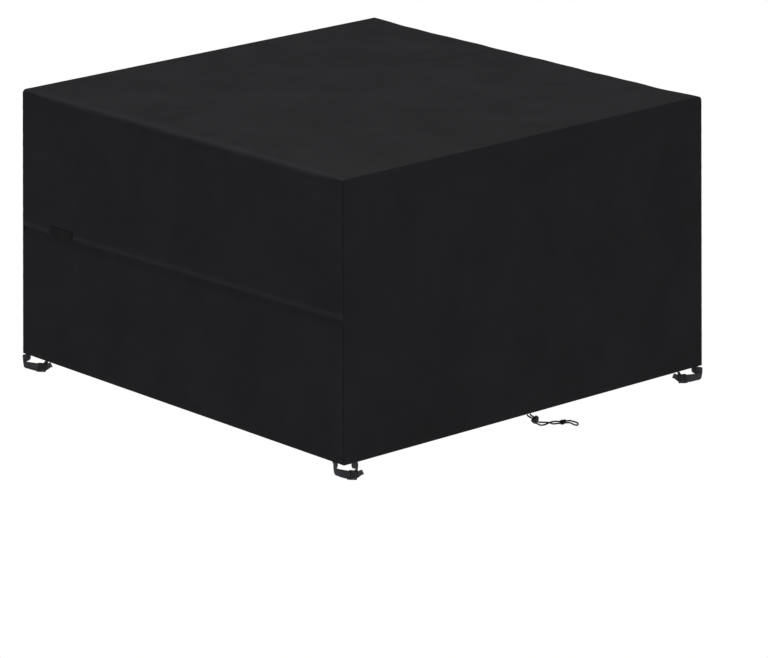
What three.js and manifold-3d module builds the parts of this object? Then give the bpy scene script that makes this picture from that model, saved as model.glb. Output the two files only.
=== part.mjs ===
// A fitted cover for a square patio table and its chairs, as it hangs when it is pulled down over them.
// Four sewn cloths make a box open below. The bridge panel is one cloth over the top and down two
// opposite sides, softly folded, and on one side a lower panel continues it under a lapped join.
// Two end panels are sewn over its turned edges. A bare label is sewn on the join. Each corner of the
// hem has a webbing strap with a side-release buckle, looped round the place of a furniture leg, and a
// drawcord with a lock leaves the hem in the middle of one end.
//
// Millimetres, +Z up. The origin is the centre of the underside of the top, where the furniture's top
// holds the cover up. The folded sides face -X and +X, and the end panels -Y and +Y.

import * as THREE from 'three';
import { mergeVertices } from 'three/addons/utils/BufferGeometryUtils.js';
import Module from 'manifold-3d';

const wasm = await Module();
wasm.setup();

// ---- Driving dimensions -------------------------------------------------------------------------

const SIDE = 1220; // each side of the square top
const HEIGHT = 710; // top face down to the hem's edge
const CLOTH = 2; // coated polyester cloth with its lining coat
const FLARE = 11; // how much farther out each side stands at the hem than at the top
const FOLD_R = 9; // outer radius of the soft fold between the top and a folded side
const GAP = 0.3; // air between pieces that are sewn together

const HEM = 24; // height of the turned-up hem
const HEM_CLOTH = 3.4; // the hem's two layers
const ALLOWANCE = 12; // seam allowance of the bridge and lower panels, turned in behind the end panels
const TURN_R = 2.5; // outer radius of that turned edge

const LAP = 17; // width of the lapped join on the -X side
const LAP_MIDDLE = -350.4; // height of the join's lower edge halfway along the side
const LAP_SLANT = 8.4; // how far that edge falls towards the +Y end, and rises towards the -Y end
const LAP_BULGE = 2.5; // how far the join's lower edge stands out
const LAP_CLOTH = 4; // thickness of that edge, which is folded under
const TUCK = 2.6; // how far the lower panel's top is tucked in behind the join
const UNDERLAP = 14; // how far the lower panel reaches up behind the join

const LABEL_LENGTH = 90;
const LABEL_CLOTH = 1;
const LABEL_MIDDLE = 456; // along the -X side
const LABEL_TOP = 20; // above the join's lower edge
const LABEL_BOTTOM = -4;

const WEBBING = 19; // width of the strap webbing
const WEBBING_T = 1.4;
const STEPS_PER_STATION = 2;

const CORD = 4; // diameter of the drawcord

// ---- Colours ------------------------------------------------------------------------------------

const cloth = { color: 0x232324, roughness: 0.78, metalness: 0 };
const webbing = { color: 0x303136, roughness: 0.85, metalness: 0 };
const plastic = { color: 0x1b1b1e, roughness: 0.42, metalness: 0 };
const braid = { color: 0x1d1d1f, roughness: 0.8, metalness: 0 };
const woven = { color: 0x3b3b3e, roughness: 0.7, metalness: 0 };

// ---- Worked-out sizes ---------------------------------------------------------------------------

const HALF = SIDE / 2;
const TOP = CLOTH; // height of the top's outer face
const BOTTOM = CLOTH - HEIGHT; // height of the hem's edge
const HEM_FACE = HALF + FLARE; // distance of a side's outer face from the middle, at the hem

const cover = new THREE.Group();

function addMesh(parent, name, geometry, finish) {
  const mesh = new THREE.Mesh(geometry, new THREE.MeshStandardMaterial(finish));
  mesh.name = name;
  parent.add(mesh);
  return mesh;
}

const rad = THREE.MathUtils.degToRad;
const lerp = THREE.MathUtils.lerp;
const smooth = (value, from, to) => THREE.MathUtils.smoothstep(value, from, to);

function evenly(from, to, steps) {
  return Array.from({ length: steps + 1 }, (_, k) => lerp(from, to, k / steps));
}

// ---- Closed meshes ------------------------------------------------------------------------------

function signedVolume(points, faces) {
  return faces.reduce((sum, [a, b, c]) => {
    const cross = new THREE.Vector3().crossVectors(points[b], points[c]);
    return sum + points[a].dot(cross);
  }, 0);
}

function closedGeometry(points, faces) {
  const outward = signedVolume(points, faces) > 0;
  const geometry = new THREE.BufferGeometry();
  geometry.setAttribute('position', new THREE.Float32BufferAttribute(points.flatMap((p) => p.toArray()), 3));
  geometry.setIndex(faces.flatMap(([a, b, c]) => (outward ? [a, b, c] : [a, c, b])));
  geometry.computeVertexNormals();
  return geometry;
}

// A cloth of the given rows and columns. at(i, j) gives a place on its outer face, the way it faces
// there and its thickness: { point, normal, thickness }.
function sheet(rows, columns, at) {
  const outer = [];
  const inner = [];
  for (let i = 0; i < rows; i++) {
    for (let j = 0; j < columns; j++) {
      const { point, normal, thickness } = at(i, j);
      outer.push(point);
      inner.push(point.clone().addScaledVector(normal, -thickness));
    }
  }
  const layer = rows * columns;
  const index = (i, j) => i * columns + j;
  const faces = [];
  for (let i = 0; i + 1 < rows; i++) {
    for (let j = 0; j + 1 < columns; j++) {
      const [a, b, c, d] = [index(i, j), index(i, j + 1), index(i + 1, j + 1), index(i + 1, j)];
      faces.push([a, b, c], [a, c, d]);
      faces.push([layer + a, layer + c, layer + b], [layer + a, layer + d, layer + c]);
    }
  }
  for (const [a, b] of borderOf(rows, columns, index)) {
    faces.push([b, a, layer + a], [b, layer + a, layer + b]);
  }
  return closedGeometry([...outer, ...inner], faces);
}

// The directed edges round a sheet's border, each as its layer's own triangles run along it.
function borderOf(rows, columns, index) {
  const edges = [];
  for (let j = 0; j + 1 < columns; j++) {
    edges.push([index(0, j), index(0, j + 1)]);
    edges.push([index(rows - 1, j + 1), index(rows - 1, j)]);
  }
  for (let i = 0; i + 1 < rows; i++) {
    edges.push([index(i, columns - 1), index(i + 1, columns - 1)]);
    edges.push([index(i + 1, 0), index(i, 0)]);
  }
  return edges;
}

function solidOf(geometry) {
  const bare = geometry.clone();
  bare.deleteAttribute('normal');
  bare.deleteAttribute('uv');
  const merged = mergeVertices(bare, 1e-4);
  const vertProperties = new Float32Array(merged.attributes.position.array);
  const triVerts = new Uint32Array(merged.index.array);
  return new wasm.Manifold(new wasm.Mesh({ numProp: 3, vertProperties, triVerts }));
}

function geometryOf(solid) {
  const mesh = solid.getMesh();
  const geometry = new THREE.BufferGeometry();
  geometry.setAttribute('position', new THREE.BufferAttribute(new Float32Array(mesh.vertProperties), 3));
  geometry.setIndex(Array.from(mesh.triVerts));
  geometry.computeVertexNormals();
  return geometry;
}

function joined(...geometries) {
  return geometries.map(solidOf).reduce((all, next) => all.add(next));
}

function cut(solid, ...geometries) {
  return geometries.map(solidOf).reduce((left, tool) => left.subtract(tool), solid);
}

// ---- The cloth's unevenness ---------------------------------------------------------------------

// Soft ridges and troughs of the top, with x and y of the middle, the direction it runs in degrees
// from +X, its half length, half width and height.
const TOP_RIDGES = [
  { x: -330, y: 180, turn: 70, reach: 260, width: 90, height: 1.8 },
  { x: -60, y: 330, turn: 35, reach: 220, width: 80, height: -1.0 },
  { x: 120, y: -60, turn: 20, reach: 300, width: 100, height: 2.2 },
  { x: -220, y: -290, turn: 50, reach: 200, width: 80, height: 1.4 },
  { x: 330, y: 260, turn: 110, reach: 240, width: 90, height: 1.6 },
  { x: 300, y: -330, turn: 155, reach: 210, width: 85, height: -0.9 },
];

// The same for a side, with x along the side and y as the depth below the top.
const SIDE_RIDGES = [
  { x: -300, y: 190, turn: 84, reach: 170, width: 85, height: 1.6 },
  { x: 60, y: 440, turn: 96, reach: 190, width: 100, height: -1.5 },
  { x: 320, y: 300, turn: 78, reach: 210, width: 95, height: 1.4 },
];

function ridgeHeight(ridges, x, y) {
  return ridges.reduce((sum, ridge) => {
    const along = (x - ridge.x) * Math.cos(rad(ridge.turn)) + (y - ridge.y) * Math.sin(rad(ridge.turn));
    const across = (y - ridge.y) * Math.cos(rad(ridge.turn)) - (x - ridge.x) * Math.sin(rad(ridge.turn));
    return sum + ridge.height * Math.exp(-((along / ridge.reach) ** 2) - (across / ridge.width) ** 2);
  }, 0);
}

// The seams, folds and hem are straight: the unevenness dies out over this distance from them.
const SETTLE = 90;

function topUnevenness(x, y) {
  const calm = smooth(HALF - Math.abs(x), 10, SETTLE) * smooth(HALF - Math.abs(y), 16, SETTLE);
  return Math.max(0, ridgeHeight(TOP_RIDGES, x, y)) * calm;
}

function sideUnevenness(along, z) {
  const ends = smooth(HALF - Math.abs(along), 16, SETTLE);
  const calm = ends * smooth(TOP - z, ALLOWANCE + 8, SETTLE) * smooth(z - BOTTOM, HEM, HEM + SETTLE);
  return ridgeHeight(SIDE_RIDGES, along, TOP - z) * calm;
}

// How far the hem's edge hangs above or below its level at each corner.
const HEM_LIFTS = [
  { x: -1, y: -1, lift: 5.5 },
  { x: -1, y: 1, lift: 6.5 },
  { x: 1, y: -1, lift: -3.5 },
  { x: 1, y: 1, lift: 0 },
];

// Height of the hem's edge at a place on the outline.
function hemEdge(x, y) {
  return HEM_LIFTS.reduce((z, corner) => {
    const share = (1 + (corner.x * x) / HALF) * (1 + (corner.y * y) / HALF) / 4;
    return z + share * corner.lift;
  }, BOTTOM);
}

// How much a side's outer face stands out past the top's edge at a height.
const flareAt = (z) => (FLARE * (TOP - z)) / HEIGHT;

// ---- Columns of a cloth whose two long edges are turned in --------------------------------------

// side is -1 or +1 for the edges and 0 between them, across is the share of the flat width, and turn
// and depth say how far round the turned edge the column lies and how deep behind the face.
const ACROSS_STEPS = 10;
const turnedEdge = (side) => [
  { side, across: side, turn: 90, depth: ALLOWANCE },
  { side, across: side, turn: 90, depth: TURN_R },
  { side, across: side, turn: 45, depth: TURN_R * (1 - Math.cos(rad(45))) },
];
const TURNED_COLUMNS = [
  ...turnedEdge(-1),
  ...evenly(-1, 1, ACROSS_STEPS).map((across) => ({ side: 0, across, turn: 0, depth: 0 })),
  ...turnedEdge(1).reverse(),
];

// Where a column lies along Y, when the turned edge's outer face is at edge.
function columnY(column, edge) {
  if (column.side === 0) return column.across * (edge - TURN_R);
  return column.side * (edge - TURN_R + TURN_R * Math.sin(rad(column.turn)));
}

// A place on a cloth with turned edges: face is the outer face's { x, z } there and out the { x, z }
// that it looks towards.
function turnedPlace(column, y, face, out, reach, thickness) {
  const depth = Math.min(column.depth, reach);
  const point = new THREE.Vector3(face.x - out.x * depth, y, face.z - out.z * depth);
  const [flat, turned] = [Math.cos(rad(column.turn)), Math.sin(rad(column.turn))];
  const normal = new THREE.Vector3(out.x * flat, column.side * turned, out.z * flat);
  return { point, normal, thickness: column.side === 0 ? thickness : CLOTH };
}

// ---- The lapped join on the -X side -------------------------------------------------------------

const lapEdge = (y) => LAP_MIDDLE - (LAP_SLANT * y) / HALF;
const lapOpen = (y) => smooth(HALF - Math.abs(y), 6, 26); // it lies flat where the end panels hold it
const lapShare = (above, y) => Math.max(0, 1 - above / LAP) * lapOpen(y);
const lapBulge = (above, y) => LAP_BULGE * lapShare(above, y);
const lapThickness = (above, y) => {
  const single = above > LAP + 1 ? CLOTH : CLOTH + 0.2;
  return single + (LAP_CLOTH - CLOTH - 0.2) * lapShare(above, y);
};

// ---- The bridge panel ---------------------------------------------------------------------------

const NEAR = -1; // towards -X
const FAR = 1; // towards +X
const turnedY = (z) => HALF + flareAt(z) - CLOTH - GAP; // outer face of a turned edge

// Rows of the folded side with the join: its lower edge, the lap, then up to the fold.
const nearRows = [
  ...[0, LAP / 2, LAP, LAP + 2].map((above) => ({ part: 'near', above })),
  ...[0.25, 0.5, 0.75, 0.97, 1].map((share) => ({ part: 'near', share })),
];
const foldRows = (side) => [22.5, 45, 67.5].map((turn) => ({ part: 'fold', side, turn }));
const TOP_STEPS = [-1, -0.985, ...evenly(-0.85, 0.85, 9), 0.985, 1];
const topRows = TOP_STEPS.map((share) => ({ part: 'top', share }));
const farRows = [
  ...[0, 0.02, 0.2, 0.4, 0.6, 0.8, 1].map((share) => ({ part: 'far', share })),
  { part: 'far', share: 1, hem: 0.6 },
  { part: 'far', share: 1, hem: HEM },
];
const BRIDGE_ROWS = [...nearRows, ...foldRows(NEAR).reverse(), ...topRows, ...foldRows(FAR), ...farRows];

const FOLD_END = TOP - FOLD_R; // where a fold ends and the side begins

// The edge's allowance is narrower where it is notched to go round a fold.
const NOTCHED = 6;

function bridgeHeight(row, y) {
  if (row.part === 'far') return lerp(FOLD_END, hemEdge(HALF, y) + HEM, row.share) - (row.hem ?? 0);
  if (row.above !== undefined) return lapEdge(y) + row.above;
  return lerp(lapEdge(y) + LAP + 2, FOLD_END, row.share);
}

function bridgeSidePlace(row, column) {
  const side = row.part === 'near' ? NEAR : FAR;
  const guess = bridgeHeight(row, column.across * HALF);
  const y = columnY(column, turnedY(guess));
  const z = bridgeHeight(row, y);
  const above = z - lapEdge(y);
  const bulge = side === NEAR ? lapBulge(above, y) : 0;
  const x = side * (HALF + flareAt(z) + sideUnevenness(-side * y, z) + bulge);
  const hemmed = side === FAR && row.hem ? HEM_CLOTH : CLOTH;
  const thickness = side === NEAR ? lapThickness(above, y) : hemmed;
  const reach = Math.min(ALLOWANCE, NOTCHED + FOLD_END - z);
  return turnedPlace(column, y, { x, z }, { x: side, z: 0 }, reach, thickness);
}

function bridgeFoldPlace(row, column) {
  const out = { x: row.side * Math.cos(rad(90 - row.turn)), z: Math.sin(rad(90 - row.turn)) };
  const face = { x: row.side * (HALF - FOLD_R) + out.x * FOLD_R, z: FOLD_END + out.z * FOLD_R };
  return turnedPlace(column, columnY(column, turnedY(face.z)), face, out, NOTCHED, CLOTH);
}

function bridgeTopPlace(row, column) {
  const x = row.share * (HALF - FOLD_R);
  const y = columnY(column, turnedY(TOP));
  const face = { x, z: TOP + topUnevenness(x, y) };
  const reach = Math.min(ALLOWANCE, NOTCHED + HALF - FOLD_R - Math.abs(x));
  return turnedPlace(column, y, face, { x: 0, z: 1 }, reach, CLOTH);
}

function bridgePlace(row, column) {
  if (row.part === 'top') return bridgeTopPlace(row, column);
  if (row.part === 'fold') return bridgeFoldPlace(row, column);
  return bridgeSidePlace(row, column);
}

function bridgePanel() {
  const [rows, columns] = [BRIDGE_ROWS, TURNED_COLUMNS];
  return sheet(rows.length, columns.length, (i, j) => bridgePlace(rows[i], columns[j]));
}

// ---- The lower panel, from behind the join down to the hem --------------------------------------

const SETTLED = 26; // below the join's edge, the lower panel is flush with the bridge panel again
const LOWER_ROWS = [
  ...[UNDERLAP, -0.5, -3.5, -12, -SETTLED].map((above) => ({ above })),
  ...[0.33, 0.66, 1].map((share) => ({ share })),
  ...[0.6, HEM].map((hem) => ({ share: 1, hem })),
];

function lowerHeight(row, y) {
  if (row.above !== undefined) return lapEdge(y) + row.above;
  return lerp(lapEdge(y) - SETTLED, hemEdge(-HALF, y) + HEM, row.share) - (row.hem ?? 0);
}

function lowerPlace(row, column) {
  const behind = row.above > -1; // between the bridge panel's turned edges
  const guess = lowerHeight(row, column.across * HALF);
  const edge = turnedY(guess) - (behind ? CLOTH + 1 : 0);
  const y = columnY(column, edge);
  const z = lowerHeight(row, y);
  const tuck = TUCK * (1 - smooth(lapEdge(y) - z, 3, SETTLED));
  const x = NEAR * (HALF + flareAt(z) + sideUnevenness(y, z) - tuck);
  const reach = behind ? TURN_R : ALLOWANCE;
  return turnedPlace(column, y, { x, z }, { x: NEAR, z: 0 }, reach, row.hem ? HEM_CLOTH : CLOTH);
}

function lowerPanel() {
  const [rows, columns] = [LOWER_ROWS, TURNED_COLUMNS];
  return sheet(rows.length, columns.length, (i, j) => lowerPlace(rows[i], columns[j]));
}

// ---- The end panels -----------------------------------------------------------------------------

// Top corners are round like the folds. Each column has its place along the top edge and the height
// of the edge there.
const roundCorner = [0, 30, 60].map((turn) => ({
  x: HALF - FOLD_R + FOLD_R * Math.cos(rad(turn)),
  top: TOP - FOLD_R + FOLD_R * Math.sin(rad(turn)),
}));
// The hem is folded between the other panels' turned edges, and single against them.
const CLEAR = HALF - ALLOWANCE - 10;
const single = (side) => [HALF - FOLD_R, CLEAR + 8].map((x) => side * x);
const hemmed = [-CLEAR, ...evenly(-505, 505, ACROSS_STEPS - 2), CLEAR];
const END_ACROSS = [...single(-1), ...hemmed, ...single(1).reverse()];
const END_COLUMNS = [
  ...roundCorner.map(({ x, top }) => ({ x: -x, top })),
  ...END_ACROSS.map((x) => ({ x, top: TOP })),
  ...[...roundCorner].reverse(),
];
const END_ROWS = [
  ...[0, 0.04, 0.22, 0.42, 0.62, 0.82, 1].map((share) => ({ share })),
  ...[0.6, HEM].map((hem) => ({ share: 1, hem })),
];

function endPlace(side, row, column) {
  const z = lerp(column.top, hemEdge(column.x, side * HALF) + HEM, row.share) - (row.hem ?? 0);
  const x = column.x * (1 + flareAt(z) / HALF);
  const y = side * (HALF + flareAt(z) + sideUnevenness(side * x, z));
  const thickness = row.hem && Math.abs(column.x) <= CLEAR ? HEM_CLOTH : CLOTH;
  return { point: new THREE.Vector3(x, y, z), normal: new THREE.Vector3(0, side, 0), thickness };
}

function endPanel(side) {
  const [rows, columns] = [END_ROWS, END_COLUMNS];
  return sheet(rows.length, columns.length, (i, j) => endPlace(side, rows[i], columns[j]));
}

// ---- The label over the join --------------------------------------------------------------------

function labelPlace(above, y) {
  const z = lapEdge(y) + above;
  const lean = lerp(LAP_BULGE, 0, above / LABEL_TOP) + sideUnevenness(y, z) + 2 * GAP + LABEL_CLOTH;
  const point = new THREE.Vector3(NEAR * (HALF + flareAt(z) + lean), y, z);
  return { point, normal: new THREE.Vector3(NEAR, 0, 0), thickness: LABEL_CLOTH };
}

function label() {
  const ends = evenly(LABEL_MIDDLE - LABEL_LENGTH / 2, LABEL_MIDDLE + LABEL_LENGTH / 2, 3);
  const heights = evenly(LABEL_TOP, LABEL_BOTTOM, 2);
  return sheet(heights.length, ends.length, (i, j) => labelPlace(heights[i], ends[j]));
}

// ---- Webbing ------------------------------------------------------------------------------------

// A flat strap along stations of { point, face }, where face is the way that its flat side looks.
function strap(stations) {
  const path = new THREE.CatmullRomCurve3(stations.map((s) => s.point));
  const faces = new THREE.CatmullRomCurve3(stations.map((s) => s.face));
  const steps = (stations.length - 1) * STEPS_PER_STATION;
  const corners = [];
  for (let k = 0; k <= steps; k++) {
    const middle = path.getPoint(k / steps);
    const along = path.getTangent(k / steps);
    const across = new THREE.Vector3().crossVectors(along, faces.getPoint(k / steps)).normalize();
    const out = new THREE.Vector3().crossVectors(across, along).normalize();
    for (const [a, b] of [[-1, -1], [1, -1], [1, 1], [-1, 1]]) {
      const edge = middle.clone().addScaledVector(across, (a * WEBBING) / 2);
      corners.push(edge.addScaledVector(out, (b * WEBBING_T) / 2));
    }
  }
  const faceList = [[0, 1, 2], [0, 2, 3]];
  for (let k = 0; k < steps; k++) {
    for (let side = 0; side < 4; side++) {
      const [a, b] = [4 * k + side, 4 * k + ((side + 1) % 4)];
      faceList.push([b, a, a + 4], [b, a + 4, b + 4]);
    }
  }
  const last = 4 * steps;
  faceList.push([last, last + 2, last + 1], [last, last + 3, last + 2]);
  return closedGeometry(corners, faceList);
}

// ---- The corner straps --------------------------------------------------------------------------

// A strap's own frame has its origin on the axis of the furniture leg that it loops round, +front
// towards the side where its band crosses the leg, +right towards its buckle, and down from the hem.
// face is the direction that the webbing's flat side looks, in degrees from front towards right.
const BUCKLE_TURN = 38; // where round the leg the buckle sits, in degrees from front
const BUCKLE_OUT = 26.5; // from the leg's axis to the buckle's middle plane
const BUCKLE_DROP = 32.5; // its middle below the hem
const BUCKLE_TILT = 13; // it hangs lower at its free end
const SOCKET_BAR = -11.1; // from the buckle's middle to the bar that holds the band
const PRONG_BAR = 9.3; // and to the bar that holds the leg webbing
const BAR_WRAP = 3; // radius at which the webbing goes round a bar
// How steeply each webbing comes up to its bar and how far it goes round it, in degrees.
const BAND_LEAD = 52;
const BAND_SWEEP = 180;
const LEG_LEAD = 38;
const LEG_SWEEP = 185;

// Between the hem and the buckle, the band hooks round beside the leg and crosses its front.
const bandHook = [
  { right: -27.0, front: 6.4, down: 13, face: -68 },
  { right: -28.2, front: 1.4, down: 20, face: -80 },
  { right: -27.2, front: 3.6, down: 26.2, face: -82 },
  { right: -23.6, front: 10.0, down: 28, face: -68 },
  { right: -17.8, front: 16.4, down: 28, face: -48 },
  { right: -10.6, front: 21.2, down: 28, face: -28 },
  { right: -2.0, front: 23.3, down: 28.6, face: -12 },
];
// Behind the bar, the band's end comes back over it and is sewn down.
const bandReturn = [
  { right: -0.6, front: 28.0, down: 29.4, face: 166 },
  { right: -7.2, front: 25.4, down: 28.4, face: 158 },
  { right: -13.4, front: 22.2, down: 28.2, face: 146 },
];

// The leg webbing hooks back from beside the leg into the buckle. A strap turned sideways to its
// corner has this webbing come down behind the leg instead.
const LEG_HOOKS = {
  own: [
    { right: 23.2, front: 14.5, down: 7, face: 64 },
    { right: 24.4, front: 4.0, down: 11, face: 82 },
    { right: 26.2, front: -3.6, down: 14.2, face: 80 },
    { right: 27.4, front: -9.6, down: 21.4, face: 80 },
    { right: 26.4, front: -5.6, down: 29.2, face: 86 },
    { right: 24.0, front: 2.4, down: 31.4, face: 86 },
  ],
  sideways: [
    { right: 27.5, front: -40.0, down: 10, face: 56 },
    { right: 28.6, front: -31.0, down: 17.5, face: 72 },
    { right: 28.6, front: -20.0, down: 25, face: 82 },
    { right: 27.2, front: -8.0, down: 30, face: 86 },
    { right: 24.4, front: 1.5, down: 31.2, face: 88 },
  ],
};
// The leg webbing's free end, from the buckle's middle along, out and up, turned away from the
// buckle's plane and leaning out at its upper edge.
const tail = [
  { along: 14.4, out: -2.1, up: -3.2, turn: 0, lean: 0 },
  { along: 20.8, out: -3.3, up: -2.6, turn: 0, lean: 11 },
  { along: 25.4, out: -1.4, up: 0.2, turn: -24, lean: 30 },
  { along: 31, out: 2.4, up: 2.4, turn: -38, lean: 36 },
];

// legX and legY are the place of the leg's axis. Slack is how loosely the band stands from it, and drop
// how far the strap hangs, as shares of the tables above. Each end is sewn to the hem on the side
// named, shifted along it from the leg's axis.
const STRAPS = [
  { name: 'front', legX: -584, legY: -586, facing: 225, hand: 1, kind: 'own', slack: 1, drop: 1,
    band: { side: 'x', shift: 2 }, leg: { side: 'y', shift: 1 } },
  { name: 'left', legX: -597, legY: 600, facing: 225, hand: 1, kind: 'sideways', slack: 1.12, drop: 0.99,
    band: { side: 'x', shift: 5 }, leg: { side: 'y', shift: 54 } },
  { name: 'right', legX: 595, legY: -602, facing: 225, hand: -1, kind: 'sideways', slack: 1.12, drop: 0.87,
    band: { side: 'y', shift: 2.5 }, leg: { side: 'x', shift: 54 } },
  { name: 'back', legX: 586, legY: 584, facing: 45, hand: 1, kind: 'own', slack: 1, drop: 1,
    band: { side: 'x', shift: -2 }, leg: { side: 'y', shift: -1 } },
];

function strapFrame({ legX, legY, facing, hand, drop }) {
  const turn = rad(facing);
  const front = new THREE.Vector3(Math.cos(turn), Math.sin(turn), 0);
  const right = new THREE.Vector3(-front.y, front.x, 0).multiplyScalar(hand);
  return { leg: new THREE.Vector3(legX, legY, 0), front, right, drop, hem: hemEdge(legX, legY) };
}

// A station of the tables above, in the cover's frame.
function station(frame, { right, front, down, face }) {
  const point = frame.leg.clone().addScaledVector(frame.right, right).addScaledVector(frame.front, front);
  point.z = frame.hem - down * frame.drop;
  const look = frame.front.clone().multiplyScalar(Math.cos(rad(face)));
  return { point, face: look.addScaledVector(frame.right, Math.sin(rad(face))) };
}

// The stretch of webbing that is sewn up inside the hem, on the side's cloth.
function hemEnd(frame, { side, shift }, like) {
  const face = new THREE.Vector3();
  face[side] = Math.sign(like[side]);
  return [14, 1, -7].map((above) => {
    const point = frame.leg.clone();
    point.z = frame.hem + above;
    point[side === 'x' ? 'y' : 'x'] += shift;
    const inside = HALF + flareAt(point.z) - HEM_CLOTH - 2 * GAP;
    point[side] = Math.sign(point[side]) * (inside - WEBBING_T / 2);
    return { point, face };
  });
}

function buckleFrame(frame) {
  const turn = rad(BUCKLE_TURN);
  const out = frame.front.clone().multiplyScalar(Math.cos(turn));
  out.addScaledVector(frame.right, Math.sin(turn));
  const level = frame.right.clone().multiplyScalar(Math.cos(turn));
  level.addScaledVector(frame.front, -Math.sin(turn));
  const along = level.clone().multiplyScalar(Math.cos(rad(BUCKLE_TILT)));
  along.z = -Math.sin(rad(BUCKLE_TILT));
  const middle = frame.leg.clone().addScaledVector(out, BUCKLE_OUT);
  middle.z = frame.hem - BUCKLE_DROP * frame.drop;
  return { middle, along, out, level };
}

function tailStation({ middle, out, level }, { along, out: outward, up, turn, lean }) {
  const point = middle.clone().addScaledVector(level, along).addScaledVector(out, outward);
  point.z += up;
  const look = out.clone().multiplyScalar(-Math.cos(rad(turn)));
  look.addScaledVector(level, -Math.sin(rad(turn)));
  look.multiplyScalar(Math.cos(rad(lean))).setZ(Math.sin(rad(lean)));
  return { point, face: look };
}

// Half a turn round a bar: through the slot beside it and back over it. way is +1 for the band, which
// runs towards +along, and -1 for the leg webbing. lead is how steeply the webbing comes up to the bar.
function roundBar({ middle, along, out }, bar, way, lead, sweep) {
  return evenly(lead, lead + sweep, 4).map((turn) => {
    const [side, lift] = [way * Math.sin(rad(turn)), -Math.cos(rad(turn))];
    const point = middle.clone().addScaledVector(along, bar + BAR_WRAP * side);
    point.addScaledVector(out, BAR_WRAP * lift);
    return { point, face: out.clone().multiplyScalar(-lift).addScaledVector(along, -side) };
  });
}

function bandStations(frame, buckle, { band, slack }) {
  const hook = bandHook.map((row) => station(frame, { ...row, right: row.right * slack }));
  const round = roundBar(buckle, SOCKET_BAR, 1, BAND_LEAD, BAND_SWEEP);
  const back = bandReturn.map((row) => station(frame, row));
  return [...hemEnd(frame, band, hook[0].face), ...hook, ...round, ...back];
}

function legStations(frame, buckle, { leg, kind }) {
  const hook = LEG_HOOKS[kind].map((row) => station(frame, row));
  const round = roundBar(buckle, PRONG_BAR, -1, LEG_LEAD, LEG_SWEEP);
  const free = tail.map((row) => tailStation(buckle, row));
  return [...hemEnd(frame, leg, hook[0].face), ...hook, ...round, ...free];
}

// ---- The side-release buckle --------------------------------------------------------------------

// Along its own x from the band's bar to the other, y out from the leg, z across the webbing.
const BUCKLE_W = 24;
const SOCKET_T = 7;
const FRAME_T = 2.6;
const BAR = 2.2; // width of the bars that the webbing goes round
const SLOT = 3.3; // and of the slots beside them
const SLOT_W = 20.8;
const SOCKET_END = SOCKET_BAR - BAR / 2;
const MOUTH = 2.5; // where the two halves meet
const LIP = 1.6; // the bar that presses on the leg webbing's free end
const PRONG_END = PRONG_BAR + BAR / 2 + SLOT + LIP;

// A plate from x0 to x1 with rounded edges.
function plate(x0, x1, thickness, width, round) {
  const outline = new THREE.Shape();
  const [w, t, r] = [width / 2, thickness / 2, round];
  outline.moveTo(-w + r, -t).lineTo(w - r, -t).quadraticCurveTo(w, -t, w, -t + r);
  outline.lineTo(w, t - r).quadraticCurveTo(w, t, w - r, t).lineTo(-w + r, t);
  outline.quadraticCurveTo(-w, t, -w, t - r).lineTo(-w, -t + r).quadraticCurveTo(-w, -t, -w + r, -t);
  const options = { depth: x1 - x0, bevelEnabled: false, curveSegments: 2 };
  const solid = new THREE.ExtrudeGeometry(outline, options);
  return solid.rotateY(Math.PI / 2).translate(x0, 0, 0);
}

function box([x0, x1], [y0, y1], [z0, z1]) {
  const solid = new THREE.BoxGeometry(x1 - x0, y1 - y0, z1 - z0);
  return solid.translate((x0 + x1) / 2, (y0 + y1) / 2, (z0 + z1) / 2);
}

const slot = (x0, x1) => box([x0, x1], [-SOCKET_T, SOCKET_T], [-SLOT_W / 2, SLOT_W / 2]);

// The socket: a flat sleeve with a window at either edge for the catches, and the band's bar.
function socket() {
  const sleeve = plate(SOCKET_END + BAR + SLOT, MOUTH, SOCKET_T, BUCKLE_W, 2);
  const bar = plate(SOCKET_END, SOCKET_END + BAR + SLOT + 1, FRAME_T, BUCKLE_W, 1.2);
  const cavity = box([-5.4, MOUTH + 1], [-2.1, 2.1], [-9.5, 9.5]);
  const windows = [-11, 11].map((z) => box([-3.8, 0.4], [-2.1, 2.1], [z - 3, z + 3]));
  const bandSlot = slot(SOCKET_END + BAR, SOCKET_END + BAR + SLOT);
  return geometryOf(cut(joined(sleeve, bar), cavity, ...windows, bandSlot));
}

// The prong: two springy arms with catches and a guide between them, and a frame with two bars. The
// leg webbing goes round the inner bar and its free end leaves under the raised outer one.
function prong() {
  const frame = plate(MOUTH + GAP, PRONG_END, FRAME_T, BUCKLE_W, 1.2);
  const arms = [-7.4, 7.4].map((z) => box([-4.4, MOUTH + 1], [-1.4, 1.4], [z - 1.4, z + 1.4]));
  const catches = [-9.2, 9.2].map((z) => box([-3.4, 0], [-1.4, 1.4], [z - 1.6, z + 1.6]));
  const guide = box([-4.8, MOUTH + 1], [-1.4, 1.4], [-1.6, 1.6]);
  const lip = box([PRONG_END - LIP, PRONG_END], [1, 2.8], [-BUCKLE_W / 2 + 0.6, BUCKLE_W / 2 - 0.6]);
  const inner = slot(PRONG_BAR - BAR / 2 - SLOT, PRONG_BAR - BAR / 2);
  const outer = slot(PRONG_BAR + BAR / 2, PRONG_END + 1);
  const open = cut(joined(frame, guide, ...arms, ...catches), inner, outer);
  return geometryOf(open.add(solidOf(lip)));
}

function buckleGroup({ middle, along, out }) {
  const group = new THREE.Group();
  const across = new THREE.Vector3().crossVectors(along, out);
  group.quaternion.setFromRotationMatrix(new THREE.Matrix4().makeBasis(along, out, across));
  group.position.copy(middle);
  return group;
}

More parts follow.
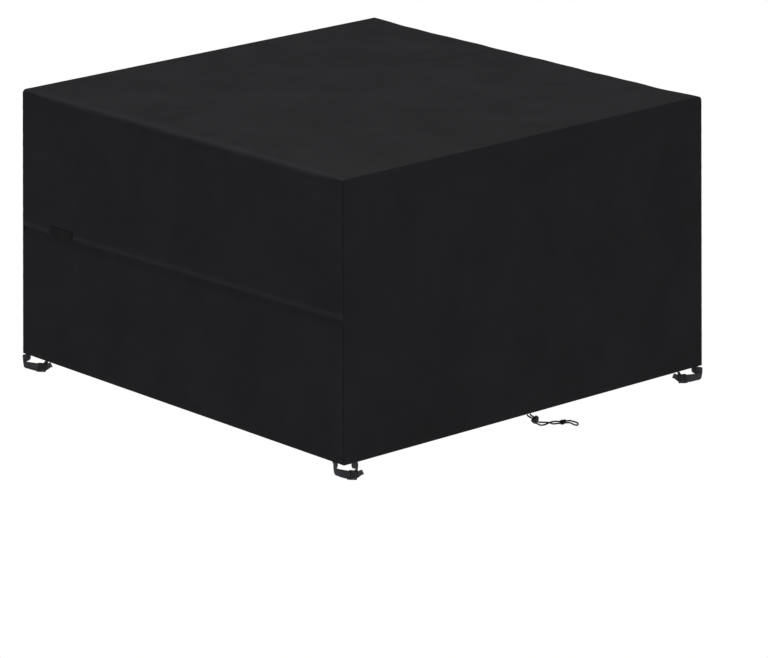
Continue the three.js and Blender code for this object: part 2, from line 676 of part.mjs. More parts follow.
function addStrap(spec) {
  const frame = strapFrame(spec);
  const buckle = buckleFrame(frame);
  addMesh(cover, `strap_band_${spec.name}`, strap(bandStations(frame, buckle, spec)), webbing);
  addMesh(cover, `strap_leg_${spec.name}`, strap(legStations(frame, buckle, spec)), webbing);
  const group = buckleGroup(buckle);
  addMesh(group, `buckle_socket_${spec.name}`, socket(), plastic);
  addMesh(group, `buckle_prong_${spec.name}`, prong(), plastic);
  cover.add(group);
}

// ---- The cord lock ------------------------------------------------------------------------------

const LOCK = new THREE.Vector3(19.5, -621, -727.4); // middle of the cords' way through it
const LOCK_TURN = 42; // its plunger points this far up from +X
const LOCK_R = 8;
const BORE_R = 6.1;
const PLUNGER_R = 5.8;
const LOCK_LOW = -7.6; // closed end, from the cords' middle
const LOCK_HIGH = 6.8;
const PLUNGER_LOW = -5;
const PLUNGER_HIGH = 11.4;
const CORD_APART = 2.4; // each cord's distance from the middle, along the plunger

const plungerWay = new THREE.Vector3(Math.cos(rad(LOCK_TURN)), 0, Math.sin(rad(LOCK_TURN)));
const cordWay = new THREE.Vector3(Math.sin(rad(LOCK_TURN)), 0, -Math.cos(rad(LOCK_TURN)));

function lathe(profile, sides) {
  return new THREE.LatheGeometry(profile.map(([r, h]) => new THREE.Vector2(r, h)), sides);
}

function cordSlot(clearance) {
  const round = CORD / 2 + clearance;
  const outline = new THREE.Shape();
  outline.absarc(0, CORD_APART, round, 0, Math.PI, false);
  outline.absarc(0, -CORD_APART, round, Math.PI, 2 * Math.PI, false);
  const options = { depth: 4 * LOCK_R, bevelEnabled: false, curveSegments: 4 };
  return new THREE.ExtrudeGeometry(outline, options).translate(0, 0, -2 * LOCK_R);
}

function lockBarrel() {
  const outside = [[0, LOCK_LOW], [5, LOCK_LOW], [LOCK_R - 1, LOCK_LOW + 1], [LOCK_R, LOCK_LOW + 3]];
  const rim = [[LOCK_R, LOCK_HIGH - 1], [LOCK_R - 1, LOCK_HIGH], [BORE_R, LOCK_HIGH]];
  const bore = [[BORE_R, LOCK_LOW + 2], [0, LOCK_LOW + 2], [0, LOCK_LOW]];
  const barrel = solidOf(lathe([...outside, ...rim, ...bore], 16));
  return geometryOf(cut(barrel, cordSlot(0.6)));
}

function lockPlunger() {
  const body = [[0, PLUNGER_LOW], [PLUNGER_R, PLUNGER_LOW], [PLUNGER_R, PLUNGER_HIGH - 1.5]];
  const head = [[PLUNGER_R - 1.5, PLUNGER_HIGH], [0, PLUNGER_HIGH], [0, PLUNGER_LOW]];
  return geometryOf(cut(solidOf(lathe([...body, ...head], 16)), cordSlot(0.5)));
}

function addLock() {
  const group = new THREE.Group();
  const side = new THREE.Vector3().crossVectors(plungerWay, cordWay);
  group.quaternion.setFromRotationMatrix(new THREE.Matrix4().makeBasis(side, plungerWay, cordWay));
  group.position.copy(LOCK);
  addMesh(group, 'cord_lock_barrel', lockBarrel(), plastic);
  addMesh(group, 'cord_lock_plunger', lockPlunger(), plastic);
  cover.add(group);
}

// ---- The drawcord -------------------------------------------------------------------------------

// It leaves the hem, goes through the lock, crosses itself, is knotted, and turns back in a loop whose
// end comes down to the ground. Places are in order along the cord, from one exit to the other.
const hemExit = (x) => [1.8, 5].map((below) => {
  return [x + 0.8 * below, -(HEM_FACE - HEM_CLOTH / 2), hemEdge(x, -HALF) - below];
});
const throughLock = (apart) => [-10, -4, 4, 10].map((at) => {
  const place = LOCK.clone().addScaledVector(cordWay, at).addScaledVector(plungerWay, apart);
  return place.toArray();
});
const KNOT = new THREE.Vector3(118, -621, -754.4);
const KNOT_FALL = 9; // degrees, how it slopes down away from the lock
const knotWay = new THREE.Vector3(Math.cos(rad(KNOT_FALL)), 0, -Math.sin(rad(KNOT_FALL)));
const knotUp = new THREE.Vector3(Math.sin(rad(KNOT_FALL)), 0, Math.cos(rad(KNOT_FALL)));
const throughKnot = (apart) => [-15, -8, 0, 8, 15].map((at) => {
  const place = KNOT.clone().addScaledVector(knotWay, at).addScaledVector(knotUp, apart);
  return place.toArray();
});

const placesOf = (rows) => rows.map(({ x, y, z }) => [x, y, z]);
const outwardStrand = placesOf([
  { x: 31, y: -620.2, z: -740.4 },
  { x: 40, y: -619.4, z: -745.4 },
  { x: 53, y: -618.6, z: -748 },
  { x: 64.7, y: -618.5, z: -747.6 },
  { x: 72.8, y: -618.5, z: -746.6 },
  { x: 82, y: -619.6, z: -745.8 },
  { x: 91.7, y: -620.6, z: -746.8 },
]);
const loop = placesOf([
  { x: 142, y: -621.4, z: -755.6 },
  { x: 153, y: -622.4, z: -759.8 },
  { x: 162, y: -623.4, z: -764 },
  { x: 168, y: -624, z: -767.6 },
  { x: 168, y: -624.4, z: -771.6 },
  { x: 162, y: -624.2, z: -771.4 },
  { x: 153, y: -623.2, z: -767.4 },
  { x: 143.4, y: -621.8, z: -761.6 },
]);
const returnStrand = placesOf([
  { x: 91.8, y: -621.6, z: -752.8 },
  { x: 82, y: -622.6, z: -750.6 },
  { x: 72.8, y: -623.5, z: -746.6 },
  { x: 64.6, y: -623.4, z: -743.2 },
  { x: 47, y: -622.4, z: -739 },
  { x: 36, y: -621.4, z: -736.6 },
]);

const CORD_ROUTE = [
  ...hemExit(-7), ...throughLock(-CORD_APART), ...outwardStrand, ...throughKnot(CORD_APART), ...loop,
  ...throughKnot(-CORD_APART).reverse(), ...returnStrand, ...throughLock(CORD_APART).reverse(),
  ...hemExit(3).reverse(),
];
const CORD_STEPS = 76;

function roundSection(radius, sides) {
  const corners = Array.from({ length: sides }, (_, k) => (2 * Math.PI * k) / sides);
  return new THREE.Shape(corners.map((a) => new THREE.Vector2(radius * Math.cos(a), radius * Math.sin(a))));
}

function drawcord() {
  const extrudePath = new THREE.CatmullRomCurve3(CORD_ROUTE.map((p) => new THREE.Vector3(...p)));
  const options = { steps: CORD_STEPS, extrudePath, bevelEnabled: false };
  return new THREE.ExtrudeGeometry(roundSection(CORD / 2, 8), options);
}

// Three turns of cord pulled tight round the two strands, over a core that stands for the turns inside.
const KNOT_CORE = { radius: 5.4, length: 15 };
const KNOT_TURN = { radius: 4.6, cord: 2.1, apart: 6.4, slant: 20 };

function knot() {
  const turns = [-1, 0, 1].map((place) => {
    const turn = new THREE.TorusGeometry(KNOT_TURN.radius, KNOT_TURN.cord, 6, 12).rotateY(Math.PI / 2);
    turn.rotateZ(rad(place === 0 ? -KNOT_TURN.slant : KNOT_TURN.slant));
    return turn.translate(place * KNOT_TURN.apart, 0, 0);
  });
  const { radius, length } = KNOT_CORE;
  const core = new THREE.CylinderGeometry(radius, radius, length, 12).rotateZ(Math.PI / 2);
  const clear = CORD / 2 + 0.5;
  const tunnels = [-CORD_APART, CORD_APART].map((height) => {
    const tunnel = new THREE.CylinderGeometry(clear, clear, 2 * length, 10).rotateZ(Math.PI / 2);
    return tunnel.translate(0, 0, height);
  });
  return geometryOf(cut(joined(core, ...turns), ...tunnels));
}

// ---- The whole cover ----------------------------------------------------------------------------

addMesh(cover, 'bridge_panel', bridgePanel(), cloth);
addMesh(cover, 'lower_panel', lowerPanel(), cloth);
addMesh(cover, 'end_panel_front', endPanel(-1), cloth);
addMesh(cover, 'end_panel_back', endPanel(1), cloth);
addMesh(cover, 'side_label', label(), woven);
STRAPS.forEach(addStrap);
addLock();
addMesh(cover, 'drawcord', drawcord(), braid);
const knotMesh = addMesh(cover, 'drawcord_knot', knot(), braid);
knotMesh.position.copy(KNOT);
knotMesh.rotation.y = rad(KNOT_FALL);

export default cover;
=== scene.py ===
# %% [markdown]
# # A fitted cover for a square patio table and its chairs
#
# The cover is a taut box of coated polyester cloth, open below. Four sewn cloths make it, and each
# corner of its hem has a webbing strap with a side-release buckle for a furniture leg. A drawcord
# with a cord lock leaves the hem in the middle of one end.
#
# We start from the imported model, which we call the frame. It holds every piece at its real size, and
# nothing here moves or resizes it. Lengths are metres, and many sizes below are written in
# millimetres, because that is how a sewing pattern is marked.

# %% Load the frame
import math

import bmesh
import bpy
from mathutils import Matrix, Vector


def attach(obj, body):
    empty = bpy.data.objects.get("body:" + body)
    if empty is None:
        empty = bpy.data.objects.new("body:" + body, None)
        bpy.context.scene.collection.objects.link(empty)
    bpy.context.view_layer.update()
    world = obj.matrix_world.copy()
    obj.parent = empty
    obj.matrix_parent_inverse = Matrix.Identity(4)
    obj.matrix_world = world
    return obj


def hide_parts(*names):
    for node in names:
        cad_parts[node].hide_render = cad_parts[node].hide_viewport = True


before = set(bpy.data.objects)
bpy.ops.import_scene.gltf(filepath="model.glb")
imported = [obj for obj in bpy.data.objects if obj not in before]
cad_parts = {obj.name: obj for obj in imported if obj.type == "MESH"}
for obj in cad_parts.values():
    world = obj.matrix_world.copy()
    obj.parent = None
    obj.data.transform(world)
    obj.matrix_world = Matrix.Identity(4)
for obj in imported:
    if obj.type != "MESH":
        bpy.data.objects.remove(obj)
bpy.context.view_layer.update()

MM = 0.001

# %% [markdown]
# ## The camera
#
# A long lens from far away keeps the box's edges nearly parallel. The camera stands diagonally in
# front of the corner between the lapped side (-X) and the cord's side (-Y) and looks slightly down.
# We place it by two angles and a distance, and build its rotation from the three directions to its
# right, up and back, which is the most exact way to aim a camera in code.

# %% Camera
CAMERA_AZIMUTH = 42.5446  # degrees round from -Y towards -X
CAMERA_ELEVATION = 16.8352
CAMERA_DISTANCE = 11.49032
CAMERA_RIGHT = 0.05835  # how far the aim is to the right of the cover's middle
CAMERA_UP = -0.26786
AIM_HEIGHT = -0.345
LENS = 210.29  # millimetres, on a 36 mm sensor

azimuth, elevation = math.radians(CAMERA_AZIMUTH), math.radians(CAMERA_ELEVATION)
back = Vector((-math.sin(azimuth) * math.cos(elevation), -math.cos(azimuth) * math.cos(elevation),
               math.sin(elevation)))
right = Vector((0, 0, 1)).cross(back).normalized()
up = back.cross(right)

camera = bpy.data.objects.new("camera", bpy.data.cameras.new("camera"))
camera.data.lens = LENS
camera.data.sensor_width = 36
camera.data.clip_end = 100
turn = Matrix((right, up, back)).transposed().to_4x4()
place = back * CAMERA_DISTANCE + right * CAMERA_RIGHT + up * CAMERA_UP + Vector((0, 0, AIM_HEIGHT))
camera.matrix_world = Matrix.Translation(place) @ turn
bpy.context.scene.collection.objects.link(camera)
bpy.context.scene.camera = camera
print("camera at", [round(v, 3) for v in place])

# %% [markdown]
# ## The sizes of the cover
#
# These are the sewn sizes in millimetres, with the height measured from the underside of the top.
# Every later step reads them from here, so the cloths, the stitches and the straps always meet.

# %% Sizes
HALF = 610
TOP = 2
HEIGHT = 710
BOTTOM = TOP - HEIGHT
FLARE = 11  # how much farther out each side stands at the hem than at the top
FOLD_R = 9  # outer radius of the soft fold at its ends, where the seams hold it tight
FOLD_SOFT = 21  # and in its middle, where nothing does
HEM = 24
HEM_THICK = 3.4
THIN = 1.0  # thickness of a single cloth
SHEET = 2  # and of the frame's cloths, which each turned-in edge stays clear of
ALLOWANCE = 11
TURN_R = 2.4  # radius at which a cloth turns in at a seam
GAP = 0.3
FLOOR = -775

LAP = 17  # width of the lapped join on the -X side
LAP_MIDDLE = -350.4
LAP_SLANT = 8.4
LAP_BULGE = 2.5
LAP_THICK = 3.6
TUCK = 2.6
SETTLED = 26

WEBBING = 19
WEBBING_T = 1.4
CORD = 4

rad = math.radians


def lerp(a, b, t):
    return a + (b - a) * t


def smooth(value, start, end):
    t = min(1.0, max(0.0, (value - start) / (end - start)))
    return t * t * (3 - 2 * t)


def evenly(start, end, steps):
    return [lerp(start, end, k / steps) for k in range(steps + 1)]


print("hem circumference in metres:", round(4 * 2 * (HALF + FLARE) * MM, 3))

# %% [markdown]
# ## Soft unevenness
#
# Cloth pulled over furniture is never flat. Broad ridges of a millimetre or two catch the light
# softly, and the seams, folds and hem hold it straight, so the ridges die out near them. Each row of
# a table is one ridge: where its middle is, the direction that it runs, how far it reaches, how wide
# it is and how high. We list them one by one, in the cloth's own sizes.

# %% Ridges and troughs
# x, y, turn in degrees from +X, reach, width and height
TOP_RIDGES = [
    (-330, 180, 70, 260, 90, 1.8),
    (-60, 330, 35, 220, 80, -1.0),
    (120, -60, 20, 300, 100, 2.2),
    (-220, -290, 50, 200, 80, 1.4),
    (330, 260, 110, 240, 90, 1.6),
    (300, -330, 155, 210, 85, -0.9),
]
# the same for a side, with the place along the side and the depth below the top
SIDE_RIDGES = [
    (-300, 190, 84, 170, 85, 1.6),
    (60, 440, 96, 190, 100, -1.5),
    (320, 300, 78, 210, 95, 1.4),
]
# finer creases of the -X side, under the label's end and beside it
LABEL_CREASES = [
    (391, 396, 90, 34, 5, 1.1),
    (359, 400, 93, 42, 6, -1.0),
    (412, 404, 84, 26, 6, -0.8),
    (376, 386, 88, 20, 4, 0.6),
]
SETTLE = 90  # the unevenness dies out over this distance from a seam


def ridge_height(ridges, x, y):
    total = 0.0
    for middle_x, middle_y, direction, reach, width, height in ridges:
        c, s = math.cos(rad(direction)), math.sin(rad(direction))
        along = (x - middle_x) * c + (y - middle_y) * s
        across = (y - middle_y) * c - (x - middle_x) * s
        total += height * math.exp(-((along / reach) ** 2) - (across / width) ** 2)
    return total


def top_unevenness(x, y):
    calm = smooth(HALF - abs(x), 10, SETTLE) * smooth(HALF - abs(y), 16, SETTLE)
    return max(0.0, ridge_height(TOP_RIDGES, x, y)) * calm


def side_unevenness(along, z):
    calm = smooth(HALF - abs(along), 16, SETTLE) * smooth(TOP - z, 20, SETTLE)
    calm *= smooth(z - BOTTOM, HEM, HEM + SETTLE)
    return ridge_height(SIDE_RIDGES, along, TOP - z) * calm


print("highest ridge of the top:", round(max(top_unevenness(x, y) for x in range(-600, 601, 50)
                                             for y in range(-600, 601, 50)), 2), "mm")

# %% [markdown]
# ## The hem line and the lapped join
#
# The cover was pulled down by hand, so its hem hangs a few millimetres higher at one corner than at
# the next. The lapped join on the -X side slants a little too. Both are short formulas, because both
# lines are straight.

# %% Hem line, flare and join line
HEM_LIFTS = [(-1, -1, 5.5), (-1, 1, 6.5), (1, -1, -3.5), (1, 1, 0)]


def hem_edge(x, y):
    z = BOTTOM
    for corner_x, corner_y, lift in HEM_LIFTS:
        z += (1 + corner_x * x / HALF) * (1 + corner_y * y / HALF) / 4 * lift
    return z


def flare_at(z):
    return FLARE * (TOP - z) / HEIGHT


def lap_edge(y):
    return LAP_MIDDLE - LAP_SLANT * y / HALF


def fold_radius(y):
    wave = 1.5 * math.sin(y / 47) + 1.2 * math.sin(y / 19 + 1)
    return FOLD_R + (FOLD_SOFT - FOLD_R + wave) * smooth(HALF - abs(y), 4, 130)


def pucker(distance, along, phase):
    """The tiny waves that sewing leaves beside a seam, at a distance from it."""
    wave = math.sin(along / 5.1 + phase) + 0.7 * math.sin(along / 7.9 + 2 * phase)
    wave += 0.5 * math.sin(along / 3.1 + 3 * phase)
    return 0.16 * wave * math.exp(-((distance / 11) ** 2))


for name, x, y in (("front", -HALF, -HALF), ("left", -HALF, HALF), ("right", HALF, -HALF)):
    print("hem at the", name, "corner:", round(hem_edge(x, y), 1), "mm")

# %% [markdown]
# ## The drawcord
#
# The cord is one thin braid. It leaves the hem, goes through the lock, crosses itself, is knotted and
# turns back in a small loop that nearly touches the ground, and its other strand runs back the same
# way. We repeat the marked points of its run, pass a smooth curve through them that never overshoots
# (a centripetal Catmull-Rom curve), and sweep a round section along it.

# %% A smooth curve through marked points


def centripetal(points, per_span, alpha=0.5):
    """Points on a centripetal Catmull-Rom curve through the given ones."""
    first = points[0] * 2 - points[1]
    last = points[-1] * 2 - points[-2]
    marks = [first, *points, last]
    curve = []
    for k in range(1, len(marks) - 2):
        p0, p1, p2, p3 = marks[k - 1:k + 3]
        d0 = max((p1 - p0).length ** alpha, 1e-4)
        d1 = max((p2 - p1).length ** alpha, 1e-4)
        d2 = max((p3 - p2).length ** alpha, 1e-4)
        m1 = ((p1 - p0) / d0 - (p2 - p0) / (d0 + d1) + (p2 - p1) / d1) * d1
        m2 = ((p2 - p1) / d1 - (p3 - p1) / (d1 + d2) + (p3 - p2) / d2) * d1
        for step in range(per_span):
            t = step / per_span
            curve.append(
                p1 * (2 * t**3 - 3 * t**2 + 1) + m1 * (t**3 - 2 * t**2 + t)
                + p2 * (3 * t**2 - 2 * t**3) + m2 * (t**3 - t**2))
    curve.append(points[-1].copy())
    return curve


def length_of(points):
    return sum((b - a).length for a, b in zip(points, points[1:]))


# %% The marked run of the cord, in millimetres
LOCK = Vector((19.5, -621, -727.4))
LOCK_TURN = 42
KNOT = Vector((118, -621, -754.4))
KNOT_FALL = 9
CORD_APART = 2.4  # each strand's distance from the middle, in the lock and in the knot

plunger_way = Vector((math.cos(rad(LOCK_TURN)), 0, math.sin(rad(LOCK_TURN))))
cord_way = Vector((math.sin(rad(LOCK_TURN)), 0, -math.cos(rad(LOCK_TURN))))
knot_way = Vector((math.cos(rad(KNOT_FALL)), 0, -math.sin(rad(KNOT_FALL))))
knot_up = Vector((math.sin(rad(KNOT_FALL)), 0, math.cos(rad(KNOT_FALL))))


def hem_exit(x):
    y = -(HALF + FLARE - HEM_THICK / 2)
    return [Vector((x + 0.8 * below, y, hem_edge(x, -HALF) - below)) for below in (1.8, 5)]


def through_lock(apart):
    return [LOCK + cord_way * at + plunger_way * apart for at in (-10, -4, 4, 10)]


def through_knot(apart):
    return [KNOT + knot_way * at + knot_up * apart for at in (-15, -8, 0, 8, 15)]


OUTWARD = [(31, -620.2, -740.4), (40, -619.4, -745.4), (53, -618.6, -748), (64.7, -618.5, -747.6),
           (72.8, -618.5, -746.6), (82, -619.6, -745.8), (91.7, -620.6, -746.8)]
LOOP = [(142, -621.4, -755.6), (153, -622.4, -759.8), (162, -623.4, -764), (168, -624, -767.6),
        (168, -624.4, -771.6), (162, -624.2, -771.4), (153, -623.2, -767.4), (143.4, -621.8, -761.6)]
RETURN = [(91.8, -621.6, -752.8), (82, -622.6, -750.6), (72.8, -623.5, -746.6), (64.6, -623.4, -743.2),
          (47, -622.4, -739), (36, -621.4, -736.6)]

cord_marks = [
    *hem_exit(-7), *through_lock(-CORD_APART), *map(Vector, OUTWARD), *through_knot(CORD_APART),
    *map(Vector, LOOP), *reversed(through_knot(-CORD_APART)), *map(Vector, RETURN),
    *reversed(through_lock(CORD_APART)), *reversed(hem_exit(3)),
]
cord_line = centripetal(cord_marks, 6)

# %% [markdown]
# Cords, webbing, cloth and stitches are all built point by point, so they share a few helpers: one
# that turns the faces outward and makes the object, one that shades it, and one that puts a skin
# between rings of points, with a UV map in metres.

# %% Mesh helpers


def new_object(name, mesh):
    piece = bpy.data.objects.new(name, mesh)
    bpy.context.scene.collection.objects.link(piece)
    return piece


def only(piece):
    bpy.ops.object.select_all(action="DESELECT")
    piece.select_set(True)
    bpy.context.view_layer.objects.active = piece


def shade_soft(piece, degrees):
    """Smooth shading, with edges sharper than the angle kept crisp."""
    only(piece)
    bpy.ops.object.shade_smooth_by_angle(angle=rad(degrees))


def built(name, build, crisp=None):
    """The object of a finished build, smooth all over or crisp beyond an angle."""
    bmesh.ops.recalc_face_normals(build, faces=build.faces)
    mesh = bpy.data.meshes.new(name)
    build.to_mesh(mesh)
    build.free()
    piece = new_object(name, mesh)
    if crisp:
        shade_soft(piece, crisp)
    else:
        mesh.polygons.foreach_set("use_smooth", [True] * len(mesh.polygons))
    return piece


def run_lengths(points):
    """How far along a row of points each one is."""
    runs = [0.0]
    for a, b in zip(points, points[1:]):
        runs.append(runs[-1] + (b - a).length)
    return runs


def skin(build, uv, rings, runs, rounds):
    """Faces between rings; runs is the place of each ring, rounds that of each point round it."""
    count = len(rings[0])
    for k in range(len(rings) - 1):
        for s in range(count):
            t = (s + 1) % count
            face = build.faces.new((rings[k][s], rings[k][t], rings[k + 1][t], rings[k + 1][s]))
            corners = ((s, k), (s + 1, k), (s + 1, k + 1), (s, k + 1))
            for loop, (place_round, ring) in zip(face.loops, corners):
                loop[uv].uv = (rounds[place_round] * MM, runs[ring] * MM)


# %% [markdown]
# A round section swept along a line needs a frame at each point that doesn't twist: we carry the
# last one on and turn it only as much as the line bends. The same function makes the cord and the
# turns of the knot. Its UV map lets a braid follow the cord.

# %% Swept round cord
TIP = 0.4  # how far a cut end bulges, as a share of the cord's radius


def carried_frames(line, start_side):
    """A side and an up direction at each point of a line, carried on without twist."""
    frames = []
    side = start_side
    for k, point in enumerate(line):
        ahead = line[min(k + 1, len(line) - 1)] - line[max(k - 1, 0)]
        ahead.normalize()
        side = (side - ahead * side.dot(ahead)).normalized()
        frames.append((side, ahead.cross(side)))
    return frames


def round_tube(name, line, radius, sides=12):
    """A closed tube along a line in millimetres, with its ends rounded off."""
    build = bmesh.new()
    uv = build.loops.layers.uv.new("Cloth")
    angles = [2 * math.pi * s / sides for s in range(sides + 1)]
    rings = []
    for point, (side, lift) in zip(line, carried_frames(line, Vector((0, 1, 0.1)))):
        rings.append([build.verts.new((point + (side * math.cos(a) + lift * math.sin(a)) * radius) * MM)
                      for a in angles[:-1]])
    skin(build, uv, rings, run_lengths(line), [a * radius for a in angles])
    for ring, point, way in ((rings[0], line[0], -1), (rings[-1], line[-1], 1)):
        ahead = (line[1] - line[0]) if way < 0 else (line[-1] - line[-2])
        tip = build.verts.new((point + ahead.normalized() * way * radius * TIP) * MM)
        for s in range(sides):
            pair = (ring[s], ring[(s + 1) % sides])
            build.faces.new((*pair[::-way], tip))
    return built(name, build)


cord_piece = round_tube("cord", cord_line, CORD / 2)
print("cord faces:", len(cord_piece.data.polygons))

# %% [markdown]
# ## The knot
#
# The knot that closes the loop is a plain overhand knot pulled tight. From outside it shows two or
# three slanting turns of the same cord with a thicker turn between them. A helix pressed to the oval
# of the two strands gives those turns, and its ends dive back in under them.

# %% Knot
KNOT_TURNS = 2.6
KNOT_REACH = 6.9  # half length of the turns
KNOT_WIDE, KNOT_TALL = 3.9, 4.7  # the turns' radii across and up
KNOT_LEAN = 1.7  # how far each turn slants along the cord
KNOT_DIVE = 0.42  # how much the turns tighten where their ends dive in
knot_line = []
for share in evenly(0, 1, 88):
    angle = 2 * math.pi * KNOT_TURNS * share - 0.6
    tight = 1 - KNOT_DIVE * (smooth(share, 0.92, 1.0) + smooth(1 - share, 0.92, 1.0))
    at = lerp(-KNOT_REACH, KNOT_REACH, share) + KNOT_LEAN * math.sin(angle + 0.4)
    knot_line.append(KNOT + knot_way * at + Vector((0, 1, 0)) * KNOT_WIDE * tight * math.cos(angle)
                     + knot_up * KNOT_TALL * tight * math.sin(angle))
knot_piece = round_tube("cord_knot", knot_line, CORD / 2 - 0.05)
print("knot length along the cord:", round(length_of(knot_line), 1), "mm")

# %% [markdown]
# ## Woven cloth as two layers
#
# Every cloth of the cover is a grid of points: rows run down it and columns across it. For each point
# we ask where its outer face is, which way it faces and how thick the cloth is there. The builder
# makes the outer layer, the inner layer and the edge between them, so that each cloth is a closed
# thin sheet, and it writes a UV map in metres that follows the weave.

# %% Cloth builder


def cloth(name, rows, columns, place, painted_light=None):
    """A closed sheet; place(row, column) gives a point, the way it faces and its thickness."""
    spots = [[place(row, column) for column in columns] for row in rows]
    # each point's share of painted light, which the material adds to the cloth's colour
    painted_light_shares = [painted_light(row, column) if painted_light else 0.0 for row in rows for column in columns]
    count = len(columns)
    middle_row = [spot[0] for spot in spots[len(rows) // 2]]
    middle_column = [line[count // 2][0] for line in spots]
    across, down = run_lengths(middle_row), run_lengths(middle_column)
    build = bmesh.new()
    uv = build.loops.layers.uv.new("Cloth")
    outer = [[build.verts.new(point * MM) for point, _, _ in line] for line in spots]
    inner = [[build.verts.new((point - way * thick) * MM) for point, way, thick in line]
             for line in spots]

    def face(corners):
        made = build.faces.new([corner[0] for corner in corners])
        for loop, corner in zip(made.loops, corners):
            loop[uv].uv = (across[corner[2]] * MM, down[corner[1]] * MM)

    for i in range(len(rows) - 1):
        for j in range(count - 1):
            ring = ((i, j), (i, j + 1), (i + 1, j + 1), (i + 1, j))
            face([(outer[a][b], a, b) for a, b in ring])
            face([(inner[a][b], a, b) for a, b in reversed(ring)])
    border = [(0, j) for j in range(count)] + [(i, count - 1) for i in range(1, len(rows))]
    border += [(len(rows) - 1, j) for j in range(count - 2, -1, -1)]
    border += [(i, 0) for i in range(len(rows) - 2, 0, -1)]
    for (a, b), (c, d) in zip(border, border[1:] + border[:1]):
        face([(outer[c][d], c, d), (outer[a][b], a, b), (inner[a][b], a, b), (inner[c][d], c, d)])
    piece = built(name, build, 50)
    # stored as a point attribute that the material reads as painted light
    painted_lightening = piece.data.attributes.new("PaintedLight", "FLOAT", "POINT")
    painted_lightening.data.foreach_set("value", painted_light_shares * 2)
    print(f"{name}: {len(piece.data.polygons)} faces, {across[-1]:.0f} x {down[-1]:.0f} mm")
    return piece


# %% [markdown]
# ## The bridge panel
#
# One cloth goes over the top and down two opposite sides. It isn't sewn where it turns down, so that
# edge is a soft fold, and it is turned in at its two long edges, where the end panels are sewn over
# it. On the -X side it ends in a lapped join: its edge is folded under, stands a little proud and
# hides the top of the lower panel.

# %% Turned-in edge columns
FINE = 9.0  # spacing of the grid, in millimetres


def turned_edge(side):
    """Columns at a turned-in edge, from deep behind the face to the start of the flat."""
    deep = [(side, 90, ALLOWANCE), (side, 90, TURN_R + 3)]
    arc = [(side, t, TURN_R * (1 - math.cos(rad(t)))) for t in (90, 68, 45, 22)]
    return deep + arc


FLAT_SHARES = evenly(-1, 1, round(2 * HALF / FINE))
near_edge = [1 - gap / HALF for gap in (5.5, 2.5)]  # two closer columns beside each turn
shares = [-1, *[-share for share in reversed(near_edge)], *FLAT_SHARES[1:-1], *near_edge, 1]
COLUMNS = [*turned_edge(-1), *[(0, share, 0) for share in shares], *reversed(turned_edge(1))]


def column_y(column, edge):
    """A column is a side, a turn there in degrees and a depth, or 0, a share of the flat and 0."""
    side, turn_or_share, _ = column
    if side == 0:
        return turn_or_share * (edge - TURN_R)
    return side * (edge - TURN_R + TURN_R * math.sin(rad(turn_or_share)))


def turned_place(column, y, face, out, reach, thick):
    """A place on a cloth with turned edges; face and out are (x, z) pairs."""
    side, turn_or_share, depth = column
    depth = min(depth, reach)
    point = Vector((face[0] - out[0] * depth, y, face[1] - out[1] * depth))
    if side == 0:
        return point, Vector((out[0], 0, out[1])), thick
    flat, turned = math.cos(rad(turn_or_share)), math.sin(rad(turn_or_share))
    return point, Vector((out[0] * flat, side * turned, out[1] * flat)), THIN


def turned_y(z):
    return HALF + flare_at(z) - SHEET - GAP


print("columns across the bridge panel:", len(COLUMNS))

# %% [markdown]
# The rows run from the join's lower edge up the -X side, round the soft fold, over the top and down
# the far side to the hem. The hem and the join's edge are both cloth folded back on itself, and a few
# closely spaced rows round them off.

# %% Bridge panel rows and places
LAP_STITCHES = (3.2, 14.2)  # the join's two rows of stitches, above its lower edge
HEM_STITCH = 21.5  # the hem's row of stitches, above its edge
HEM_DENT = 0.4  # how deep that row presses the cloth
JOIN_TURN = 1.8  # radius of the join's folded edge
FAN = 22  # the join's own rows end here, above its edge
DEEP = 6  # the most that a turned-in edge reaches down round the fold
# rows of a turned-up hem, above its edge, and then round it in degrees
HEM_ROWS = [("hem", above) for above in (HEM - 0.6, 22.6, 21.5, 20.4, 16, 11, 6, 3)]
HEM_ROWS += [("hem_round", turn) for turn in (0, 25, 50, 75)]


def groove(distance, depth, width=1.1):
    """A stitch line pulls the cloth in."""
    return -depth * math.exp(-((distance / width) ** 2))


def lap_open(y):
    return smooth(HALF - abs(y), 6, 26)


def lap_share(above, y):
    return max(0.0, 1 - above / LAP) * lap_open(y)


def side_face(side, along, z, extra=0.0):
    """How far out a side's outer face stands, with its unevenness."""
    ridges = side_unevenness(along, z)
    waves = pucker(HALF + flare_at(z) - abs(along), z, side + 1.5)
    return HALF + flare_at(z) + ridges + waves + extra


def near_x(y, z, above):
    """The -X side of the bridge panel, above the join's edge."""
    bulge = LAP_BULGE * lap_share(above, y)
    dents = sum(groove(above - row, 0.35) for row in LAP_STITCHES)
    ripples = 0.35 * math.sin(y / 23 + math.sin(y / 61)) * lap_share(above - 4, y)
    return side_face(-1, y, z, bulge + dents + ripples)


def fold_place(column, side, turn):
    """A place on the fold; turn is 0 at the top and 90 at the side."""
    out = (side * math.sin(rad(turn)), math.cos(rad(turn)))
    radius = fold_radius(column_y(column, HALF))
    reach = HALF + flare_at(TOP - radius) * turn / 90
    face = (side * (reach - radius) + out[0] * radius, TOP - radius + out[1] * radius)
    return turned_place(column, column_y(column, turned_y(face[1])), face, out, DEEP, THIN)


def hem_height(row, z_edge):
    return z_edge + (row[1] if row[0] == "hem" else 0)


def hem_place(row, z_edge, face):
    """How far out and how high a place on a folded hem is, and how thick the cloth is there."""
    kind, above_or_turn = row
    if kind == "hem":
        return face, z_edge + above_or_turn, HEM_THICK
    r = HEM_THICK / 2
    depth = r * (1 - math.cos(rad(above_or_turn)))
    return face - depth, z_edge + r - r * math.sin(rad(above_or_turn)), HEM_THICK - 2 * depth


